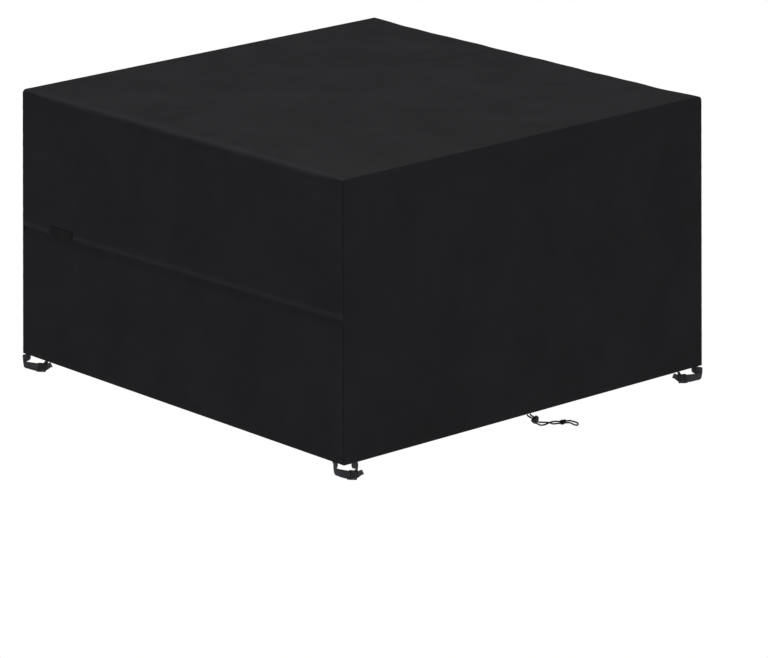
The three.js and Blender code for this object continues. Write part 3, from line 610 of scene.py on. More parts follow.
FOLD_TURNS = (10, 20, 30, 40, 50, 60, 70, 80)
bridge_rows = [("join", turn) for turn in (75, 50, 25)]
bridge_rows += [("lap", above) for above in (2.0, 3.2, 4.4, 6.5, 9, 11.5, 13, 14.2, 15.4, 17, 19, FAN)]
bridge_rows += [("near", share) for share in evenly(0, 1, 35)[1:]]
bridge_rows += [("fold", -1, turn) for turn in reversed(FOLD_TURNS)]
bridge_rows += [("top", share) for share in FLAT_SHARES]
bridge_rows += [("fold", 1, turn) for turn in FOLD_TURNS]
bridge_rows += [("far", share) for share in evenly(0, 1, 72)] + HEM_ROWS


def near_place(row, column):
    guess = column_y(column, turned_y(LAP_MIDDLE))
    edge_z = lap_edge(guess)
    if row[0] == "near":
        z = lerp(edge_z + FAN, TOP - fold_radius(guess), row[1])
    elif row[0] == "lap":
        z = edge_z + row[1]
    else:
        z = edge_z + JOIN_TURN - JOIN_TURN * math.sin(rad(row[1]))
    y = column_y(column, turned_y(z))
    above = z - edge_z
    x = near_x(y, z, above)
    single = THIN if above > LAP + 1 else THIN + 0.2
    thick = single + (LAP_THICK - single) * lap_share(above, y)
    if row[0] == "join":
        depth = thick / 2 * (1 - math.cos(rad(row[1])))
        x, thick = x - depth, thick - 2 * depth
    reach = min(ALLOWANCE, DEEP + TOP - FOLD_R - z)
    return turned_place(column, y, (-x, z), (-1, 0), reach, thick)


def far_place(row, column):
    guess_y = column_y(column, turned_y(BOTTOM))
    edge_z = hem_edge(HALF, guess_y)
    if row[0] == "far":
        z, thick = lerp(TOP - fold_radius(guess_y), edge_z + HEM, row[1]), THIN
        y = column_y(column, turned_y(z))
        x = side_face(1, -y, z)
    else:
        z = hem_height(row, edge_z)
        y = column_y(column, turned_y(z))
        x = side_face(1, -y, z, groove(z - edge_z - HEM_STITCH, HEM_DENT))
        x, z, thick = hem_place(row, edge_z, x)
    reach = min(ALLOWANCE, DEEP + TOP - FOLD_R - z)
    return turned_place(column, y, (x, z), (1, 0), reach, thick)


def bridge_place(row, column):
    if row[0] in ("join", "lap", "near"):
        return near_place(row, column)
    if row[0] == "fold":
        return fold_place(column, row[1], row[2])
    if row[0] in ("far", "hem", "hem_round"):
        return far_place(row, column)
    y = column_y(column, turned_y(TOP))
    x = row[1] * (HALF - fold_radius(y))
    waves = pucker(HALF - abs(y), x, 4.2)
    reach = min(ALLOWANCE, DEEP + HALF - FOLD_R - abs(x))
    return turned_place(column, y, (x, TOP + top_unevenness(x, y) + waves), (0, 1), reach, THIN)


def bridge_painted_light(row, column):
    """Painted highlight along the soft fold and the top's edge beside it, and painted light on the
    join's lapped strip.
    """
    if row[0] == "fold":
        return math.exp(-(((row[2] - 30) / 24) ** 2))
    if row[0] == "top":
        left = (1 - abs(row[1])) * HALF
        return 0.25 * math.exp(-((left / 9) ** 2))
    if row[0] == "lap":
        return smooth(LAP + 2 - row[1], 0, 8) * 0.6
    return 0.0


bridge_cloth = cloth("bridge_cloth", bridge_rows, COLUMNS, bridge_place, bridge_painted_light)

# %% [markdown]
# ## The lower panel
#
# It hangs from behind the join down to the hem. Its top is tucked in behind the bridge panel's folded
# edge, so the face comes forward again over the next few centimetres. Small creases gather under the
# label, where the label's stitches hold the cloth shorter than it was.

# %% Lower panel
lower_rows = [("above", above) for above in (13, 8, 4, 1, -0.8, -2, -3.5, -6, -9, -13, -17, -21.5)]
lower_rows += [("above", -SETTLED)]
lower_rows += [("share", share) for share in evenly(0, 1, 36)[1:]] + HEM_ROWS


def lower_face(y, z):
    tuck = TUCK * (1 - smooth(lap_edge(y) - z, 3, SETTLED))
    creases = ridge_height(LABEL_CREASES, y, TOP - z) * smooth(lap_edge(y) - z, 2, 14)
    return side_face(-1, y, z, creases - tuck)


def lower_place(row, column):
    behind = row[0] == "above" and row[1] > -0.5
    guess_y = column_y(column, turned_y(LAP_MIDDLE))
    edge_z, join_z = hem_edge(-HALF, guess_y), lap_edge(guess_y)
    thick = THIN
    if row[0] == "above":
        z = join_z + row[1]
    elif row[0] == "share":
        z = lerp(join_z - SETTLED, edge_z + HEM, row[1])
    else:
        z = hem_height(row, edge_z)
    y = column_y(column, turned_y(z) - (3 if behind else 0))
    x = lower_face(y, z)
    if row[0].startswith("hem"):
        x, z, thick = hem_place(row, edge_z, x + groove(z - edge_z - HEM_STITCH, HEM_DENT))
    reach = TURN_R if behind else ALLOWANCE
    return turned_place(column, y, (-x, z), (-1, 0), reach, thick)


lower_cloth = cloth("lower_cloth", lower_rows, COLUMNS, lower_place)

# %% [markdown]
# ## The end panels
#
# The two end panels are sewn over the turned-in edges, and turn in themselves at the seam, so a
# narrow groove is left between the two cloths. Their top corners are round, because the bridge
# panel's fold runs out there. Pulling the cover down leaves short tight lines below each top corner.

# %% End panels
EDGE_R = 1.5  # an end panel turns in more tightly than the cloth below it
# x and the height of the panel's top there
corner_columns = [(HALF - FOLD_R + FOLD_R * math.cos(rad(t)), TOP - FOLD_R + FOLD_R * math.sin(rad(t)))
                  for t in (0, 15, 30, 45, 60, 75)]
inner_columns = [(x, TOP) for x in evenly(-(HALF - FOLD_R), HALF - FOLD_R, round(2 * HALF / FINE))]
end_columns = [(-x, top) for x, top in corner_columns] + inner_columns + corner_columns[::-1]

CLEAR = HALF - ALLOWANCE - 10  # the hem is folded only between the other panels' turned edges
end_rows = [("edge", turn) for turn in (85, 60, 35, 12)]
end_rows += [("share", share) for share in [0.004, 0.009, *evenly(0.016, 1, 74)]] + HEM_ROWS


def end_face(side, x, z):
    waves = pucker(TOP - z, x, 2.6 + side)
    return side_face(side * 2, side * x, z, waves)


def end_place(side):
    def at(row, column):
        x0, top = column
        edge_z = hem_edge(x0, side * HALF)
        thick = THIN
        if row[0] == "edge":
            flat, turned = math.cos(rad(row[1])), math.sin(rad(row[1]))
            z = top - EDGE_R * (1 - turned)
            y = end_face(side, x0, z) - EDGE_R * (1 - flat)
            point = Vector((x0 * (1 + flare_at(z) / HALF), side * y, z))
            return point, Vector((0, side * flat, turned)), THIN
        if row[0] == "share":
            z = lerp(top - EDGE_R, edge_z + HEM, row[1])
            y = end_face(side, x0, z)
        else:
            z = hem_height(row, edge_z)
            y = end_face(side, x0, z) + groove(z - edge_z - HEM_STITCH, HEM_DENT)
            y, z, full = hem_place(row, edge_z, y)
            thick = full if abs(x0) <= CLEAR else max(0.3, THIN * full / HEM_THICK)
        point = Vector((x0 * (1 + flare_at(z) / HALF), side * y, z))
        return point, Vector((0, side, 0)), thick
    return at


front_cloth = cloth("front_cloth", end_rows, end_columns, end_place(-1))
back_cloth = cloth("back_cloth", end_rows, end_columns, end_place(1))

# %% [markdown]
# ## The label
#
# A short ribbon is sewn over the join. It is left bare. The real label's ends are folded under, but
# here it is one strip of even thickness that follows the cloth below it.

# %% Label
LABEL_LENGTH = 90
LABEL_MIDDLE = 456
LABEL_TOP = 20  # above the join's edge
LABEL_BOTTOM = -4
LABEL_THICK = 0.7
LABEL_STAND = 1.4  # how far its outer face stands off the cloth
LABEL_INSET = 1.8  # the row of stitches is this far inside its edge
label_rows = evenly(LABEL_TOP, LABEL_BOTTOM, 18)
label_columns = evenly(LABEL_MIDDLE - LABEL_LENGTH / 2, LABEL_MIDDLE + LABEL_LENGTH / 2, 60)


def label_place(above, y):
    z = lap_edge(y) + above
    end = LABEL_LENGTH / 2 - abs(y - LABEL_MIDDLE)
    lean = lerp(LAP_BULGE, 0, above / LABEL_TOP) + side_unevenness(y, z)
    edge = min(end, above - LABEL_BOTTOM, LABEL_TOP - above)
    pressed = groove(edge - LABEL_INSET, 0.3, 0.9)
    x = HALF + flare_at(z) + lean + LABEL_STAND + pressed + 0.1 * math.sin(y / 4.1)
    return Vector((-x, y, z)), Vector((-1, 0, 0)), LABEL_THICK


label_ribbon = cloth("label_ribbon", label_rows, label_columns, label_place)

# %% [markdown]
# ## Stitches
#
# The lapped join has two rows of stitches, and the hem and the label have one each. A lockstitch
# shows as short thread bars, each rising out of one hole and diving into the next. We model one bar
# with a few faces and lay copies of it along each row, joined into one mesh for each seam.

# %% Stitch rows
STITCH = 3.6
STITCH_PITCH = 4.6
THREAD = 0.55
JOIN_SEWN, HEM_SEWN = 600, 603  # the rows run this far to either side


def add_stitch(build, middle, ahead, out):
    """One thread bar: a low ring, a wide high one and a low one again."""
    side = ahead.cross(out).normalized()
    rings = []
    for at, width, rise in ((-0.42, 0.55, -0.1), (0.0, 1.0, 0.28), (0.42, 0.55, -0.1)):
        centre = middle + ahead * STITCH * at + out * rise
        rings.append([build.verts.new((centre + side * THREAD * width * c
                                       + out * THREAD * width * 0.7 * s) * MM)
                      for c, s in ((-1, -0.6), (-0.7, 0.5), (0.7, 0.5), (1, -0.6))])
    for a, b in zip(rings, rings[1:]):
        for k in range(4):
            build.faces.new((a[k], a[(k + 1) % 4], b[(k + 1) % 4], b[k]))
    build.faces.new(rings[0][::-1])
    build.faces.new(rings[-1])


def stitch_rows(name, lines):
    """One mesh of stitches along lines of (point, out) pairs."""
    build = bmesh.new()
    total = 0
    for line in lines:
        runs = run_lengths([point for point, _ in line])
        k, at = 0, STITCH_PITCH / 2
        while at < runs[-1] - STITCH_PITCH / 2:
            while runs[k + 1] < at:
                k += 1
            t = (at - runs[k]) / (runs[k + 1] - runs[k])
            point = line[k][0].lerp(line[k + 1][0], t)
            ahead = (line[k + 1][0] - line[k][0]).normalized()
            add_stitch(build, point, ahead, line[k][1])
            at += STITCH_PITCH
            total += 1
    print(f"{name}: {total} stitches")
    return built(name, build)


def join_line(above):
    line = []
    for y in evenly(-JOIN_SEWN, JOIN_SEWN, 150):
        z = lap_edge(y) + above
        line.append((Vector((-near_x(y, z, above), y, z)), Vector((-1, 0, 0))))
    return line


def hem_line(side, axis):
    """The hem's stitches on one side, on the outer face."""
    line = []
    for along in evenly(-HEM_SEWN, HEM_SEWN, 150):
        x, y = (side * HALF, along) if axis == "x" else (along, side * HALF)
        z = hem_edge(x, y) + HEM_STITCH
        stand = 1 + flare_at(z) / HALF
        dent = groove(0, HEM_DENT)
        if axis == "x":
            far = side_face(1, -along, z, dent) if side > 0 else lower_face(along, z) + dent
            line.append((Vector((side * far, along, z)), Vector((side, 0, 0))))
        else:
            far = end_face(side, along, z) + dent
            line.append((Vector((along * stand, side * far, z)), Vector((0, side, 0))))
    return line


def label_line():
    reach = LABEL_LENGTH / 2 - LABEL_INSET
    y0, y1 = LABEL_MIDDLE - reach, LABEL_MIDDLE + reach
    low, high = LABEL_BOTTOM + LABEL_INSET, LABEL_TOP - LABEL_INSET
    corners = [(low, y0), (low, y1), (high, y1), (high, y0), (low, y0)]
    lines = []
    for (a0, b0), (a1, b1) in zip(corners, corners[1:]):
        spots = [label_place(lerp(a0, a1, t), lerp(b0, b1, t)) for t in evenly(0, 1, 20)]
        lines.append([(spot[0], spot[1]) for spot in spots])
    return lines


join_stitches = stitch_rows("join_stitches", [join_line(above) for above in LAP_STITCHES])
hem_stitches = stitch_rows("hem_stitches", [hem_line(s, axis) for s in (-1, 1) for axis in ("x", "y")])
label_stitches = stitch_rows("label_stitches", label_line())

# %% [markdown]
# ## The corner straps
#
# Each corner has two webbings. The band comes down from the hem, hooks round beside the furniture
# leg, crosses its front and goes round the bar of the buckle's socket. The other one comes down from
# the next side of the hem, goes round the bar of the prong, and ends free. We work in the strap's own
# frame: the leg's axis is its origin, front is the side that the band crosses, and right is the side
# of the buckle. The same tables then serve all four corners.

# %% Strap tables, in millimetres and degrees
BUCKLE_TURN, BUCKLE_OUT, BUCKLE_DROP, BUCKLE_TILT = 38, 26.5, 32.5, 13
SOCKET_BAR, PRONG_BAR, BAR_WRAP = -11.1, 9.3, 3  # each bar's place, and how far off it webbing runs
BAND_WRAP, LEG_WRAP = (52, 180), (38, 185)  # where a webbing's turn round its bar starts, and its sweep
# right, front, down and face
BAND_HOOK = [(-27.0, 6.4, 13, -68), (-28.2, 1.4, 20, -80), (-27.2, 3.6, 26.2, -82),
             (-23.6, 10.0, 28, -68), (-17.8, 16.4, 28, -48), (-10.6, 21.2, 28, -28),
             (-2.0, 23.3, 28.6, -12)]
BAND_RETURN = [(-0.6, 28.0, 29.4, 166), (-7.2, 25.4, 28.4, 158), (-13.4, 22.2, 28.2, 146)]
LEG_HOOKS = {
    "own": [(23.2, 14.5, 7, 64), (24.4, 4.0, 11, 82), (26.2, -3.6, 14.2, 80), (27.4, -9.6, 21.4, 80),
            (26.4, -5.6, 29.2, 86), (24.0, 2.4, 31.4, 86)],
    "sideways": [(27.5, -40.0, 10, 56), (28.6, -31.0, 17.5, 72), (28.6, -20.0, 25, 82),
                 (27.2, -8.0, 30, 86), (24.4, 1.5, 31.2, 88)],
}
# along, out, up, turn and lean, from the buckle's middle
TAIL = [(14.4, -2.1, -3.2, 0, 0), (20.8, -3.3, -2.6, 0, 11), (25.4, -1.4, 0.2, -24, 30),
        (31.0, 2.4, 2.4, -38, 36)]
# name, the leg's place, facing, hand, kind, slack, drop, and where the two webbings are sewn on
STRAPS = [
    ("front", -584, -586, 225, 1, "own", 1, 1, ("x", 2), ("y", 1)),
    ("left", -597, 600, 225, 1, "sideways", 1.12, 0.99, ("x", 5), ("y", 54)),
    ("right", 595, -602, 225, -1, "sideways", 1.12, 0.87, ("y", 2.5), ("x", 54)),
    ("back", 586, 584, 45, 1, "own", 1, 1, ("x", -2), ("y", -1)),
]

# %% Strap frames and stations


def strap_frame(leg_x, leg_y, facing, hand, drop):
    front = Vector((math.cos(rad(facing)), math.sin(rad(facing)), 0))
    side = Vector((-front.y, front.x, 0)) * hand
    return dict(leg=Vector((leg_x, leg_y, 0)), front=front, right=side, drop=drop,
                hem=hem_edge(leg_x, leg_y))


def station(own, row, slack=1):
    across, ahead, down, face = row
    point = own["leg"] + own["right"] * across * slack + own["front"] * ahead
    point.z = own["hem"] - down * own["drop"]
    return point, own["front"] * math.cos(rad(face)) + own["right"] * math.sin(rad(face))


def hem_end(own, sewn, like):
    """The end that is sewn inside the hem, on the named side's cloth."""
    axis, shift = sewn
    k = 0 if axis == "x" else 1
    face = Vector((0, 0, 0))
    face[k] = math.copysign(1, like[k])
    ends = []
    for above in (14, 1, -7):
        point = own["leg"].copy()
        point.z = own["hem"] + above
        point[1 - k] += shift
        inside = HALF + flare_at(point.z) - HEM_THICK - 2 * GAP
        point[k] = math.copysign(inside - WEBBING_T / 2, point[k])
        ends.append((point, face.copy()))
    return ends


def buckle_frame(own):
    t = rad(BUCKLE_TURN)
    out = own["front"] * math.cos(t) + own["right"] * math.sin(t)
    level = own["right"] * math.cos(t) - own["front"] * math.sin(t)
    along = level * math.cos(rad(BUCKLE_TILT)) - Vector((0, 0, math.sin(rad(BUCKLE_TILT))))
    middle = own["leg"] + out * BUCKLE_OUT
    middle.z = own["hem"] - BUCKLE_DROP * own["drop"]
    return dict(middle=middle, along=along, out=out, level=level)


def tail_station(buckle, row):
    along, outward, rise, t, lean = row
    point = buckle["middle"] + buckle["level"] * along + buckle["out"] * outward + Vector((0, 0, rise))
    look = -buckle["out"] * math.cos(rad(t)) - buckle["level"] * math.sin(rad(t))
    look = look * math.cos(rad(lean)) + Vector((0, 0, math.sin(rad(lean))))
    return point, look


def round_bar(buckle, bar, way, lead, sweep):
    """About half a turn round a bar."""
    stations = []
    for t in evenly(lead, lead + sweep, 4):
        aside, lift = way * math.sin(rad(t)), -math.cos(rad(t))
        point = buckle["middle"] + buckle["along"] * (bar + BAR_WRAP * aside)
        point += buckle["out"] * BAR_WRAP * lift
        stations.append((point, -buckle["out"] * lift - buckle["along"] * aside))
    return stations


print("straps:", [spec[0] for spec in STRAPS])

# %% [markdown]
# Webbing is woven flat with a firm rounded edge. Its section is a thin strip with rounded sides and a
# slight rib along each edge, swept along the stations so that its flat side always looks the way that
# the table says.

# %% Webbing sweep
# across and out, as a closed section
SECTION = [(-9.5, 0), (-9.3, -0.5), (-8.7, -0.7), (-7.9, -0.62), (0, -0.6), (7.9, -0.62), (8.7, -0.7),
           (9.3, -0.5), (9.5, 0), (9.3, 0.5), (8.7, 0.7), (7.9, 0.62), (0, 0.6), (-7.9, 0.62),
           (-8.7, 0.7), (-9.3, 0.5)]


def webbing_strip(name, stations):
    line = centripetal([point for point, _ in stations], 8)
    faces = centripetal([face for _, face in stations], 8)
    build = bmesh.new()
    uv = build.loops.layers.uv.new("Cloth")
    rings = []
    runs = run_lengths(line)
    for k, (point, face) in enumerate(zip(line, faces)):
        ahead = (line[min(k + 1, len(line) - 1)] - line[max(k - 1, 0)]).normalized()
        across = ahead.cross(face).normalized()
        out = across.cross(ahead).normalized()
        rings.append([build.verts.new((point + across * a + out * b) * MM) for a, b in SECTION])
    skin(build, uv, rings, runs, [a + WEBBING / 2 for a, _ in (*SECTION, SECTION[0])])
    build.faces.new(rings[0][::-1])
    build.faces.new(rings[-1])
    return built(name, build, 40), runs[-1]


webbings, buckles = [], []
for name, leg_x, leg_y, facing, hand, kind, slack, drop, band_sewn, leg_sewn in STRAPS:
    own = strap_frame(leg_x, leg_y, facing, hand, drop)
    buckle = buckle_frame(own)
    buckles.append((name, buckle))
    hook = [station(own, row, slack) for row in BAND_HOOK]
    band = [*hem_end(own, band_sewn, hook[0][1]), *hook, *round_bar(buckle, SOCKET_BAR, 1, *BAND_WRAP),
            *[station(own, row) for row in BAND_RETURN]]
    hook = [station(own, row) for row in LEG_HOOKS[kind]]
    leg = [*hem_end(own, leg_sewn, hook[0][1]), *hook, *round_bar(buckle, PRONG_BAR, -1, *LEG_WRAP),
           *[tail_station(buckle, row) for row in TAIL]]
    for part, stations in (("band", band), ("leg", leg)):
        piece, length = webbing_strip(f"webbing_{part}_{name}", stations)
        webbings.append((piece, f"strap_{part}_{name}"))
        print(f"{piece.name}: {length:.0f} mm of webbing")

# %% [markdown]
# ## The side-release buckle
#
# A buckle is two mouldings. The socket is a flat sleeve with a window at either edge and a bar for the
# band. The prong has two springy arms whose catches show in the windows, and a frame with two bars for
# the other webbing. We model each once near the origin, by hand tools: blocks with bevelled edges,
# cut by other blocks. Then each corner gets its own copy, with its place written into the mesh.

# %% Moulding tools


def both(size):
    """The pair of a size to either side of the middle."""
    return -size / 2, size / 2


def block(name, x, y, z, bevel=0.0, segments=2):
    """A block between pairs of sizes in millimetres, with its edges rounded."""
    bpy.ops.object.select_all(action="DESELECT")
    bpy.ops.mesh.primitive_cube_add(size=1, location=[(a + b) / 2 * MM for a, b in (x, y, z)])
    piece = bpy.context.object
    piece.name = name
    piece.scale = [(b - a) * MM for a, b in (x, y, z)]
    bpy.ops.object.transform_apply(location=True, rotation=False, scale=True)
    if bevel:
        bpy.ops.object.mode_set(mode="EDIT")
        bpy.ops.mesh.select_all(action="SELECT")
        bpy.ops.mesh.bevel(offset=bevel * MM, segments=segments, affect="EDGES")
        bpy.ops.object.mode_set(mode="OBJECT")
    return piece


def combine(piece, tools, operation):
    """Add blocks to a piece or cut them out of it, and remove the blocks."""
    for tool in tools:
        only(piece)
        step = piece.modifiers.new("combine", "BOOLEAN")
        step.object, step.operation, step.solver = tool, operation, "EXACT"
        bpy.ops.object.modifier_apply(modifier=step.name)
        bpy.data.objects.remove(tool)
    return piece


def soften(piece, width, degrees=35):
    only(piece)
    step = piece.modifiers.new("soften", "BEVEL")
    step.width, step.segments, step.limit_method = width * MM, 2, "ANGLE"
    step.angle_limit = rad(degrees)
    bpy.ops.object.modifier_apply(modifier=step.name)
    shade_soft(piece, 40)


# %% Socket and prong
BUCKLE_W, SOCKET_T, FRAME_T, BAR, SLOT, SLOT_W, MOUTH, LIP = 24, 7, 2.6, 2.2, 3.3, 20.8, 2.5, 1.6
CAVITY_T, ARM_T = 4.2, 2.8
WINDOW = (-3.8, 0.4)
THROUGH = (-9, 9)
SOCKET_END = SOCKET_BAR - BAR / 2
SOCKET_SLOT = (SOCKET_END + BAR, SOCKET_END + BAR + SLOT)
PRONG_END = PRONG_BAR + BAR / 2 + SLOT + LIP
W = BUCKLE_W / 2

socket = block("socket", (SOCKET_SLOT[1], MOUTH), both(SOCKET_T), both(BUCKLE_W), 1.6, 3)
bar_frame = block("bar_frame", (SOCKET_END, SOCKET_SLOT[1] + 1.5), both(FRAME_T), both(BUCKLE_W), 0.9)
combine(socket, [bar_frame], "UNION")
cuts = [block("cavity", (-5.4, MOUTH + 1), both(CAVITY_T), (-9.5, 9.5)),
        block("band_slot", SOCKET_SLOT, THROUGH, both(SLOT_W)),
        block("window_low", WINDOW, both(CAVITY_T), (-W - 2, -8)),
        block("window_high", WINDOW, both(CAVITY_T), (8, W + 2))]
combine(socket, cuts, "DIFFERENCE")
ribs = [block("rib", (x, x + 0.55), (3.1, 3.85), (-6.5, 6.5), 0.2) for x in (-5.2, -3.9, -2.6)]
combine(socket, ribs, "UNION")
soften(socket, 0.22)

prong = block("prong", (MOUTH + GAP, PRONG_END), both(FRAME_T), both(BUCKLE_W), 0.8)
arms = [block("arm", (-4.4, MOUTH + 1), both(ARM_T), (z - 1.4, z + 1.4), 0.4) for z in (-7.4, 7.4)]
arms += [block("catch", (-3.4, 0), both(ARM_T), (z - 1.6, z + 1.6), 0.4) for z in (-9.2, 9.2)]
arms += [block("guide", (-4.8, MOUTH + 1), both(ARM_T), (-1.6, 1.6), 0.4)]
combine(prong, arms, "UNION")
slots = [block("slot", (x, x + SLOT), THROUGH, both(SLOT_W))
         for x in (PRONG_BAR - BAR / 2 - SLOT, PRONG_BAR + BAR / 2)]
combine(prong, slots, "DIFFERENCE")
lip = block("lip", (PRONG_END - LIP, PRONG_END), (1.0, 2.8), (-W + 0.6, W - 0.6), 0.5)
combine(prong, [lip], "UNION")
soften(prong, 0.2)
print("socket and prong faces:", len(socket.data.polygons), len(prong.data.polygons))

# %% A copy for each corner


def placed(middle, *ways):
    """The matrix that takes X, Y and Z to three directions, and the origin to a place."""
    return Matrix.Translation(middle * MM) @ Matrix(ways).transposed().to_4x4()


buckle_pieces = []
for name, buckle in buckles:
    along, out = buckle["along"].normalized(), buckle["out"].normalized()
    basis = placed(buckle["middle"], along, out, along.cross(out).normalized())
    for source, part in ((socket, "socket"), (prong, "prong")):
        mesh = source.data.copy()
        mesh.transform(basis)
        piece = new_object(f"moulded_{part}_{name}", mesh)
        buckle_pieces.append((piece, f"buckle_{part}_{name}"))
for source in (socket, prong):
    bpy.data.objects.remove(source)
print("buckle pieces:", len(buckle_pieces))

# %% [markdown]
# ## The cord lock
#
# A spring pushes a plunger up in a barrel, and both have a hole across them for the cord, so the
# spring pinches it. The barrel is turned from a profile by the spin tool: a row of points is spun
# round the axis in edit mode. Fine flutes round it give the fingers a grip.

# %% Cord lock
LOCK_LOW, LOCK_HIGH, LOCK_R, BORE_R = -7.6, 6.8, 8, 6.1
PLUNGER_LOW, PLUNGER_HIGH, PLUNGER_R = -5, 11.4, 5.8
FLUTES = 10


def spun(name, profile, steps=48):
    """A closed profile of (radius, height) spun round the Y axis."""
    mesh = bpy.data.meshes.new(name)
    edges = [(k, k + 1) for k in range(len(profile) - 1)]
    mesh.from_pydata([(r * MM, h * MM, 0) for r, h in profile], edges, [])
    piece = new_object(name, mesh)
    only(piece)
    bpy.ops.object.mode_set(mode="EDIT")
    bpy.ops.mesh.select_all(action="SELECT")
    bpy.ops.mesh.spin(steps=steps, angle=2 * math.pi, center=(0, 0, 0), axis=(0, 1, 0))
    bpy.ops.mesh.select_all(action="SELECT")
    bpy.ops.mesh.remove_doubles(threshold=0.00001)
    bpy.ops.mesh.normals_make_consistent(inside=False)
    bpy.ops.object.mode_set(mode="OBJECT")
    return piece


def cord_hole(clearance):
    """A long block for the two strands, across the plunger's axis."""
    r = CORD / 2 + clearance
    return block("cord_hole", (-r, r), (-CORD_APART - r, CORD_APART + r), (-20, 20))


barrel_profile = [(0, LOCK_LOW), (5.4, LOCK_LOW), (6.6, LOCK_LOW + 0.35), (7.5, LOCK_LOW + 1.2),
                  (LOCK_R, LOCK_LOW + 2.6), (LOCK_R, LOCK_HIGH - 1.6), (7.7, LOCK_HIGH - 0.6),
                  (7.0, LOCK_HIGH), (BORE_R + 0.3, LOCK_HIGH), (BORE_R, LOCK_HIGH - 0.4),
                  (BORE_R, LOCK_LOW + 2), (0, LOCK_LOW + 2)]
barrel = spun("lock_barrel", barrel_profile)
for k in range(FLUTES):
    flute = block("flute", both(0.9), (LOCK_LOW + 3.2, LOCK_HIGH - 2.4), (LOCK_R - 0.5, LOCK_R + 1.5))
    flute.data.transform(Matrix.Rotation(2 * math.pi * (k + 0.5) / FLUTES, 4, "Y"))
    combine(barrel, [flute], "DIFFERENCE")
combine(barrel, [cord_hole(0.55)], "DIFFERENCE")
soften(barrel, 0.18, 50)

plunger_profile = [(0, PLUNGER_LOW), (PLUNGER_R, PLUNGER_LOW), (PLUNGER_R, PLUNGER_HIGH - 1.9),
                   (PLUNGER_R - 0.35, PLUNGER_HIGH - 0.9), (PLUNGER_R - 1.2, PLUNGER_HIGH - 0.25),
                   (PLUNGER_R - 2.4, PLUNGER_HIGH), (1.6, PLUNGER_HIGH - 0.25), (0, PLUNGER_HIGH - 0.3)]
plunger = spun("lock_plunger", plunger_profile)
combine(plunger, [cord_hole(0.45)], "DIFFERENCE")
soften(plunger, 0.15, 50)

side_way = plunger_way.cross(cord_way).normalized()
for piece in (barrel, plunger):
    piece.data.transform(placed(LOCK, side_way, plunger_way, cord_way))
print("lock faces:", len(barrel.data.polygons), len(plunger.data.polygons))

# %% [markdown]
# ## Materials
#
# Coated polyester is a plain weave of fine dark yarns with a thin coat behind it. Close up the yarns
# cross over and under, and from a few metres the cloth is a matt, faintly mottled dark grey. Cloth,
# webbing, ribbon and braid all need crossing threads, so one shader group makes them: it reads a
# vector in metres and a thread size, and puts out how high the threads stand.

# %% Node helpers


class Wires:
    """Short names for adding shader nodes and feeding their sockets."""

    def __init__(self, tree):
        self.tree = tree

    def feed(self, target, value):
        """Link an output to a socket, or set the socket to a number or a colour."""
        if isinstance(value, bpy.types.NodeSocket):
            self.tree.links.new(value, target)
        else:
            target.default_value = (*value, 1) if isinstance(value, tuple) else value

    def add(self, kind, inputs=None, **settings):
        node = self.tree.nodes.new(kind)
        for key, value in settings.items():
            setattr(node, key, value)
        for key, value in (inputs or {}).items():
            self.feed(node.inputs[key], value)
        return node

    def math(self, operation, *values):
        node = self.add("ShaderNodeMath", operation=operation)
        for target, value in zip(node.inputs, values):
            self.feed(target, value)
        return node.outputs[0]

    def ramp(self, value, low, high, to_low=0.0, to_high=1.0):
        inputs = {"Value": value, "From Min": low, "From Max": high,
                  "To Min": to_low, "To Max": to_high}
        return self.add("ShaderNodeMapRange", inputs).outputs["Result"]

    def noise(self, vector, scale, detail, roughness=0.5):
        inputs = {"Vector": vector, "Scale": scale, "Detail": detail, "Roughness": roughness}
        return self.add("ShaderNodeTexNoise", inputs).outputs["Fac"]

    def bump(self, height, strength, distance):
        inputs = {"Height": height, "Strength": strength, "Distance": distance}
        return self.add("ShaderNodeBump", inputs).outputs[0]

    def mix(self, factor, a, b, blend="MIX"):
        node = self.add("ShaderNodeMix", {"Factor": factor}, data_type="RGBA", blend_type=blend)
        for target, value in zip([s for s in node.inputs if s.type == "RGBA"], (a, b)):
            self.feed(target, value)
        return [s for s in node.outputs if s.type == "RGBA"][0]

    def surface(self, inputs):
        """The shader of a material, joined to the material's output."""
        shader = self.add("ShaderNodeBsdfPrincipled", inputs)
        self.add("ShaderNodeOutputMaterial", {"Surface": shader.outputs[0]})


def new_group(name, output, **inputs):
    """A node group with one output: the group, its wires, its inputs and its outlet."""
    group = bpy.data.node_groups.new(name, "ShaderNodeTree")
    for label, kind in inputs.items():
        group.interface.new_socket(label, in_out="INPUT", socket_type="NodeSocket" + kind)
    group.interface.new_socket(output, in_out="OUTPUT", socket_type="NodeSocketFloat")
    w = Wires(group)
    return group, w, w.add("NodeGroupInput").outputs, w.add("NodeGroupOutput").inputs[output]


def new_material(name):
    material = bpy.data.materials.new(name)
    material.use_nodes = True
    material.node_tree.nodes.clear()
    return material, Wires(material.node_tree)


# %% The crossing-threads group
weave, w, given, outlet = new_group("crossing_threads", "Height",
                                    Vector="Vector", Thread="Float", Slant="Float")
split = w.add("ShaderNodeSeparateXYZ", {0: given["Vector"]}).outputs
slanted = w.math("MULTIPLY", split["X"], given["Slant"])
u = w.math("DIVIDE", split["X"], given["Thread"])
v = w.math("DIVIDE", w.math("ADD", split["Y"], slanted), given["Thread"])
warp = w.math("ABSOLUTE", w.math("SINE", w.math("MULTIPLY", u, math.pi)))
weft = w.math("ABSOLUTE", w.math("SINE", w.math("MULTIPLY", v, math.pi)))
parity = w.math("MODULO", w.math("ADD", w.math("FLOOR", u), w.math("FLOOR", v)), 2.0)
over = w.math("ABSOLUTE", parity)
under = w.math("SUBTRACT", 1.0, over)
w.feed(outlet, w.math("ADD", w.math("MULTIPLY", warp, over), w.math("MULTIPLY", weft, under)))

